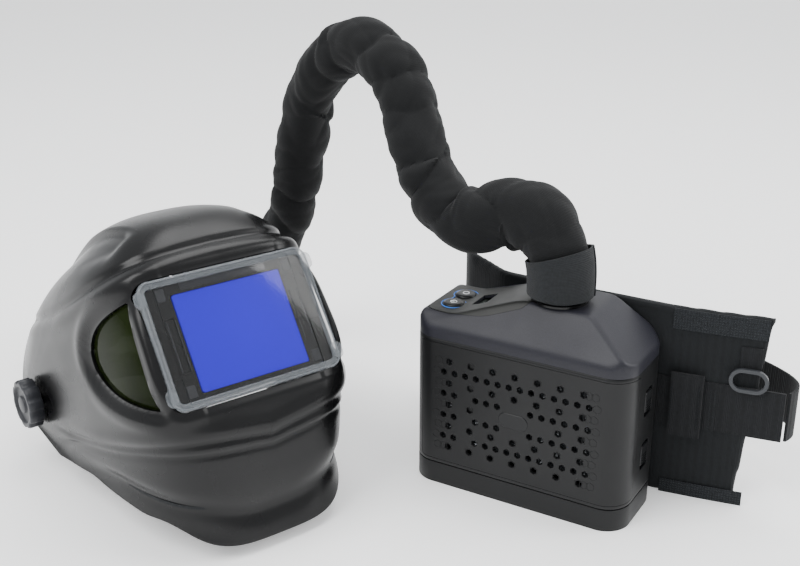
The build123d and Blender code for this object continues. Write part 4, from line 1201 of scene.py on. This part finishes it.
# %% [markdown]
# The controls sit in a smoother insert that follows the lid from the left end to the outlet.
# Its outline is cut from a patch of the lid's own height, half a millimetre up.

# %% Control panel
PANEL_OUTLINE = [(-103, -29), (-96, -35), (-48, -36), (-22, -29), (4, -22), (4, 30), (-30, 37), (-96, 38),
                 (-103, 32), (-103, -29)]


def panel_distance(points):
    outline = round_corners(PANEL_OUTLINE, 3)
    return outside_distance(outline, points[:, 0], points[:, 1])


xs, ys = np.linspace(-106, 8, 115), np.linspace(-40, 41, 82)
X, Y = np.meshgrid(xs, ys)
insert = grid_piece("control_insert", np.stack([X, Y, lid_height(X, Y) + 0.55], axis=2), panel_abs)
clip_away(insert, lambda p: -panel_distance(p))
clip_away(insert, lambda p: np.maximum(np.abs(p[:, 0] + 57) - 7.6, np.abs(p[:, 1] - 2) - 13.6))
tidy_normals(insert.data)
if sum(p.normal.z * p.area for p in insert.data.polygons) < 0:
    insert.data.flip_normals()
insert = thicken(insert, 1.4)
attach(insert, "blower")
print("insert has", len(insert.data.polygons), "faces")

# %% [markdown]
# Two soft buttons share a figure-of-eight surround with a thin blue line round it. The line and
# the marks are inks, so they are drawn as very low solids. The power button has a plain ring and
# bar mark and the speed button has a plain ring.

# %% Buttons
BUTTON_X, BUTTON_YS, PAD_R = -84.0, {"power_button": -12.0, "speed_button": 14.0}, 12.0


def tube_piece(name, line, radius, material, around=10, closed=False):
    """A round rod along a line of points in millimetres."""
    line = np.asarray(line, float)
    if closed:
        line = np.concatenate([line, line[:1]])
    piece = grid_piece(name, tube_points(line, np.full(len(line), float(radius)), around), material,
                       wrap=True, caps=not closed)
    tidy_normals(piece.data)
    return piece


def flat_disc(name, centre, rings, material, around=56):
    """Rings of (radius, height) about an upright axis, closed at both ends."""
    turn = np.linspace(0, 2 * math.pi, around, endpoint=False)
    grid = [np.stack([centre[0] + r * np.cos(turn), centre[1] + r * np.sin(turn),
                      np.full(around, h)], axis=1) for r, h in rings]
    return crisp(grid_piece(name, np.array(grid), material, wrap=True, caps=True), 50)


eight = []
for first, last, y in ((-52, 232, 14.0), (128, 412, -12.0)):
    for angle in np.radians(np.linspace(first, last, 24)):
        eight.append((BUTTON_X + PAD_R * math.cos(angle), y + PAD_R * math.sin(angle)))
eight = evenly(round_corners(np.array(eight + eight[:1]), 2), 160)
level = PANEL_Z + 0.75
blue_line = tube_piece("blue_outline", [(x, y, level) for x, y in eight[6:150]], 0.55, blue_ink)
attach(blue_line, "blower")
for name, y in BUTTON_YS.items():
    dome = [(8.6, -1.0), (10.4, -0.4), (10.4, 1.2), (9.8, 2.2), (8.0, 2.9), (5.0, 2.7), (0.6, 2.6)]
    rings = [(radius, PANEL_Z + up) for radius, up in dome]
    button = flat_disc(f"{name}_dome", (BUTTON_X, y), rings, button_tpe)
    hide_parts(name)
    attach(button, name)
    turn = np.linspace(0, 2 * math.pi, 36, endpoint=False)
    ring_line = [(BUTTON_X + 3.0 * math.cos(a), y + 3.0 * math.sin(a), PANEL_Z + 2.75) for a in turn]
    mark = tube_piece(f"{name}_ring_mark", ring_line, 0.42, white_ink, 8, closed=True)
    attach(mark, name)
bar_line = [(BUTTON_X - 3.6, -12.0, PANEL_Z + 2.85), (BUTTON_X + 0.6, -12.0, PANEL_Z + 2.85)]
bar = tube_piece("power_bar_mark", bar_line, 0.42, white_ink, 8)
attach(bar, "power_button")
TRIANGLE = [(-71.5, -27.5), (-60.5, -27.5), (-66.0, -17.5)]
rings = [[(x, y, h) for x, y in TRIANGLE] for h in (PANEL_Z + 0.4, PANEL_Z + 0.75)]
triangle = grid_piece("panel_triangle", np.array(rings), white_ink, wrap=True, caps=True)
crisp(triangle, 30)
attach(triangle, "blower")
print("buttons", 2 * 10.4, "mm across")

# %% [markdown]
# Each latch is a plate in a pocket of the case's right side. The pocket is a cup behind the
# skin, the plate nearly fills it, and four ribs on its lower half give a grip.

# %% Latches
def side_plate(name, outline, back, front, centre, material, edge=0.5):
    """A rounded plate that stands on the blower's right side; distances are along +x."""
    points, outward = outline
    rings = [[(x, py + centre[0], pz + centre[1]) for py, pz in points - outward * inwards]
             for inwards, x in ((edge, back), (0, back + edge), (0, front - edge), (edge, front))]
    return crisp(grid_piece(name, np.array(rings), material, wrap=True, caps=True), 30)


def side_cup(name, outline, rim, depth, centre, material):
    """A thin-walled cup let into the right side, open outwards."""
    points, outward = outline
    steps = [(-1.2, rim), (0.0, rim), (0.2, rim - depth), (18.0, rim - depth), (18.0, rim - depth - 1),
             (-1.2, rim - depth - 1)]
    rings = []
    for inwards, x in steps:
        scale = np.clip(1 - inwards / 9.0, 0.02, 1.2)
        rings.append([(x, py * scale + centre[0], pz * scale + centre[1]) for py, pz in points])
    rings.append(rings[0])
    piece = grid_piece(name, np.array(rings), material, wrap=True)
    tidy_normals(piece.data)
    return crisp(piece, 40)


for name, height in LATCH_HEIGHTS.items():
    cup = side_cup(f"{name}_pocket", rounded_rectangle(18.4, 27.6, 3), BLOWER_W / 2 - 0.3, 5.0,
                   (LATCH_Y, height), plain_abs)
    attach(cup, "blower")
    plate = side_plate(f"{name}_plate", rounded_rectangle(17, 20.5, 3.5), BLOWER_W / 2 - 3.0,
                       BLOWER_W / 2 + 0.1, (LATCH_Y, height), plain_abs, 0.9)
    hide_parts(name)
    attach(plate, name)
    for i in range(4):
        rib = side_plate(f"{name}_rib_{i}", rounded_rectangle(12, 1.2, 0.5), BLOWER_W / 2 - 0.4,
                         BLOWER_W / 2 + 0.7, (LATCH_Y, height - 8.0 + 2.6 * i), plain_abs, 0.25)
        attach(rib, name)
print("latch pockets at heights", list(LATCH_HEIGHTS.values()))

# %% [markdown]
# The padded belt is foam between two cloths. A copy of its solid is remeshed evenly and blown up
# a little as cloth, which rounds its edges as a sewn pad's are, and no point moves far enough
# to reach a neighbour.

# %% The padded belt
PAD_Y = 51.5
BELT_LOW, BELT_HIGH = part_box("belt_pad")[0][2] / MM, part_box("belt_pad")[1][2] / MM


def cad_mesh(name):
    """A merged copy of a CAD node's mesh, in the same place."""
    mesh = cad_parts[name].data.copy()
    tidy_normals(mesh, 2e-5)
    return mesh


def cloth_copy(source, name, material, voxel, pressure, cap, body):
    """A padded copy of a CAD node, blown up as cloth with its movement capped."""
    mesh = cad_mesh(source)
    piece = add_object(name, mesh, material)
    remesh = piece.modifiers.new("voxels", "REMESH")
    remesh.mode, remesh.voxel_size = "VOXEL", voxel * MM
    settle(piece)
    rest = np.array([v.co for v in piece.data.vertices])
    cloth = piece.modifiers.new("cloth", "CLOTH")
    cloth.settings.quality = 5
    cloth.settings.use_pressure = True
    cloth.settings.uniform_pressure_force = pressure
    cloth.settings.effector_weights.gravity = 0
    for step in range(1, 21):
        bpy.context.scene.frame_set(step)
    settle(piece)
    bpy.context.scene.frame_set(1)
    moved = np.array([v.co for v in piece.data.vertices]) - rest
    length = np.linalg.norm(moved, axis=1, keepdims=True).clip(1e-9)
    rest = rest + moved * np.minimum(1, cap * MM / length)
    piece.data.vertices.foreach_set("co", rest.ravel())
    smooth = piece.modifiers.new("finer", "SUBSURF")
    smooth.levels = smooth.render_levels = 1
    settle(piece)
    tidy_normals(piece.data)
    piece.data.shade_smooth()
    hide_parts(source)
    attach(piece, body)
    print(name, len(piece.data.polygons), "faces")
    return piece


pad = cloth_copy("belt_pad", "padded_belt", belt_cloth_3d, 4.0, 3.0, 1.6, "blower")

# %% [markdown]
# A looped binding tape about 20 mm wide lies along the pad's upper and lower edges at its right
# end, just proud of the cloth. Only its front is made, because its fold over the edge is hidden.

# %% Binding, webbing and flaps
RIGHT_END = np.array([(112.0, PAD_Y), (160, PAD_Y + 7), (204, PAD_Y + 15.6)])
RIGHT_LINE = evenly(round_corners(RIGHT_END, 2), 60)


def belt_strip(name, line, low, high, out, material, thickness=0.9, rows=8):
    """A strip of cloth on the belt: a line in plan, heights for its edges, and a distance out."""
    line = np.asarray(line, float)
    way = np.gradient(line, axis=0)
    way /= np.linalg.norm(way, axis=1, keepdims=True)
    side = np.column_stack([way[:, 1], -way[:, 0]])
    plan = line + side * out
    low, high = np.broadcast_to(low, len(line)), np.broadcast_to(high, len(line))
    grid = np.array([[(x, y, a + (b - a) * t) for (x, y), a, b in zip(plan, low, high)]
                     for t in np.linspace(0, 1, rows)])
    piece = grid_piece(name, grid, material)
    tidy_normals(piece.data)
    piece = thicken(piece, thickness)
    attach(piece, "blower")
    return piece


PROUD = 1.4
belt_strip("binding_top", RIGHT_LINE[2:-2], BELT_HIGH - 22.5, BELT_HIGH - 2.0, PROUD, binding_tape)
belt_strip("binding_foot", RIGHT_LINE[2:-7], BELT_LOW + 1.5, BELT_LOW + 18, PROUD, binding_tape)
print("belt from", round(BELT_LOW), "to", round(BELT_HIGH), "mm high")

# %% [markdown]
# The webbing and the sewn tabs keep their CAD shapes, with a small bevel along their edges. Their
# material draws threads 1.6 mm apart on the object's own coordinates.

# %% Webbing, tabs and ring
for name, material in (("waist_webbing", webbing_3d), ("sewn_tabs", webbing_3d)):
    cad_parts[name].data.materials.clear()
    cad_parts[name].data.materials.append(material)
    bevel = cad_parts[name].modifiers.new("edge", "BEVEL")
    bevel.width, bevel.segments, bevel.limit_method = 0.35 * MM, 2, "ANGLE"

# %% [markdown]
# Bar tacks hold the webbing and the tunnel. Each tack is a dense row of short stitches, laid out
# on points along a line by Geometry Nodes.

# %% Bar tacks
tree, given, result = new_tree("stitches", {"Count": ("NodeSocketInt", 24),
                               "Start": ("NodeSocketVector", None), "End": ("NodeSocketVector", None),
                               "Stitch": ("NodeSocketFloat", 0.0011),
                               "Material": ("NodeSocketMaterial", None)})
row = node(tree, "GeometryNodeMeshLine", {"Count": given.outputs["Count"],
           "Start Location": given.outputs["Start"], "Offset": given.outputs["End"]}, mode="END_POINTS")
thread = node(tree, "GeometryNodeMeshIcoSphere", {"Radius": given.outputs["Stitch"], "Subdivisions": 1})
flat = node(tree, "GeometryNodeTransform", {"Geometry": thread.outputs["Mesh"],
            "Scale": (1.0, 0.45, 0.5),
            "Rotation": (0.0, 0.6, 0.0)})
sewn = node(tree, "GeometryNodeInstanceOnPoints", {"Points": row.outputs["Mesh"],
            "Instance": flat.outputs[0]})
real = node(tree, "GeometryNodeRealizeInstances", {0: sewn.outputs[0]})
painted = node(tree, "GeometryNodeSetMaterial", {"Geometry": real.outputs[0],
               "Material": given.outputs["Material"]})
tree.links.new(painted.outputs[0], result.inputs[0])
TACKS = [((122, 42.8, 84), (122, 42.8, 126)), ((147, 47.2, 84), (147, 47.2, 126)),
         ((158, 48.5, 84), (158, 48.5, 126)), ((162, 49.2, 84), (162, 49.2, 126))]
for i, (first, last) in enumerate(TACKS):
    mesh = bpy.data.meshes.new("tack")
    tack = add_object(f"bar_tack_{i}", mesh, binding_tape)
    run_tree(tack, tree, {"Count": 26, "Start": [v * MM for v in first], "End": [v * MM for v in last],
                          "Stitch": 1.1 * MM, "Material": binding_tape})
    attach(tack, "blower")
print(len(TACKS), "bar tacks")

# %% [markdown]
# The headgear's sweatband and nape pad are soft foam in cloth, so they are blown up a little from
# their CAD shapes in the same way as the belt. They sit inside the helmet.

# %% Soft headgear pieces
SOFT = (("sweatband", "soft_sweatband", "blower"), ("nape_pad", "soft_nape_pad", "blower"))
for source, name, body in SOFT:
    piece = cloth_copy(source, name, soft_foam, 2.5, 2.0, 0.5, body)

# %% [markdown]
# The remaining pieces keep their CAD shapes. Each one gets the material it is made of, and the
# moulded ones get a small bevel, because no moulding has a knife edge.

# %% Materials on the CAD pieces
MADE_OF = {
    nylon: ["air_duct", "duct_nozzle", "tilt_plates", "headband", "rear_band", "crown_strap",
            "ratchet_housing", "ratchet_knob", "pivot_studs", "inlet_spigot", "outlet_spigot", "lens_frame",
            "filter_cartridge", "filter_battery_tray"],
    plain_abs: ["fan_scroll", "impeller", "belt_bracket"],
    acetal: ["d_ring", "strap_keeper", "buckle_socket", "buckle_plug", "buckle_prong_upper",
             "buckle_prong_lower", "friction_washers", "helmet_hose_connector", "blower_hose_connector"],
    tube_rubber: ["breathing_tube"],
    seal_rubber: ["gaskets"],
    steel: ["case_screws", "spark_screen", "fan_motor"],
    paper: ["particle_filter"],
    filter_foam: ["prefilter"],
    solder_mask: ["circuit_board"],
    cell_wrap: ["battery_cells"],
    lining_cloth: ["face_seal"],
    solar_glass: ["solar_cell"],
    clear_pc: ["inner_cover_lens"],
    display_film: ["status_display"],
}
BEVELLED = {nylon, plain_abs, acetal}
for material, names in MADE_OF.items():
    for name in names:
        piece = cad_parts[name]
        piece.data.materials.clear()
        piece.data.materials.append(material)
        if material in BEVELLED:
            edge = piece.modifiers.new("edge", "BEVEL")
            edge.width, edge.segments, edge.limit_method = 0.3 * MM, 2, "ANGLE"
left = [name for name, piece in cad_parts.items()
        if not piece.hide_render and not any(name in names for names in MADE_OF.values())]
print("CAD pieces that show in their own finish:", left)
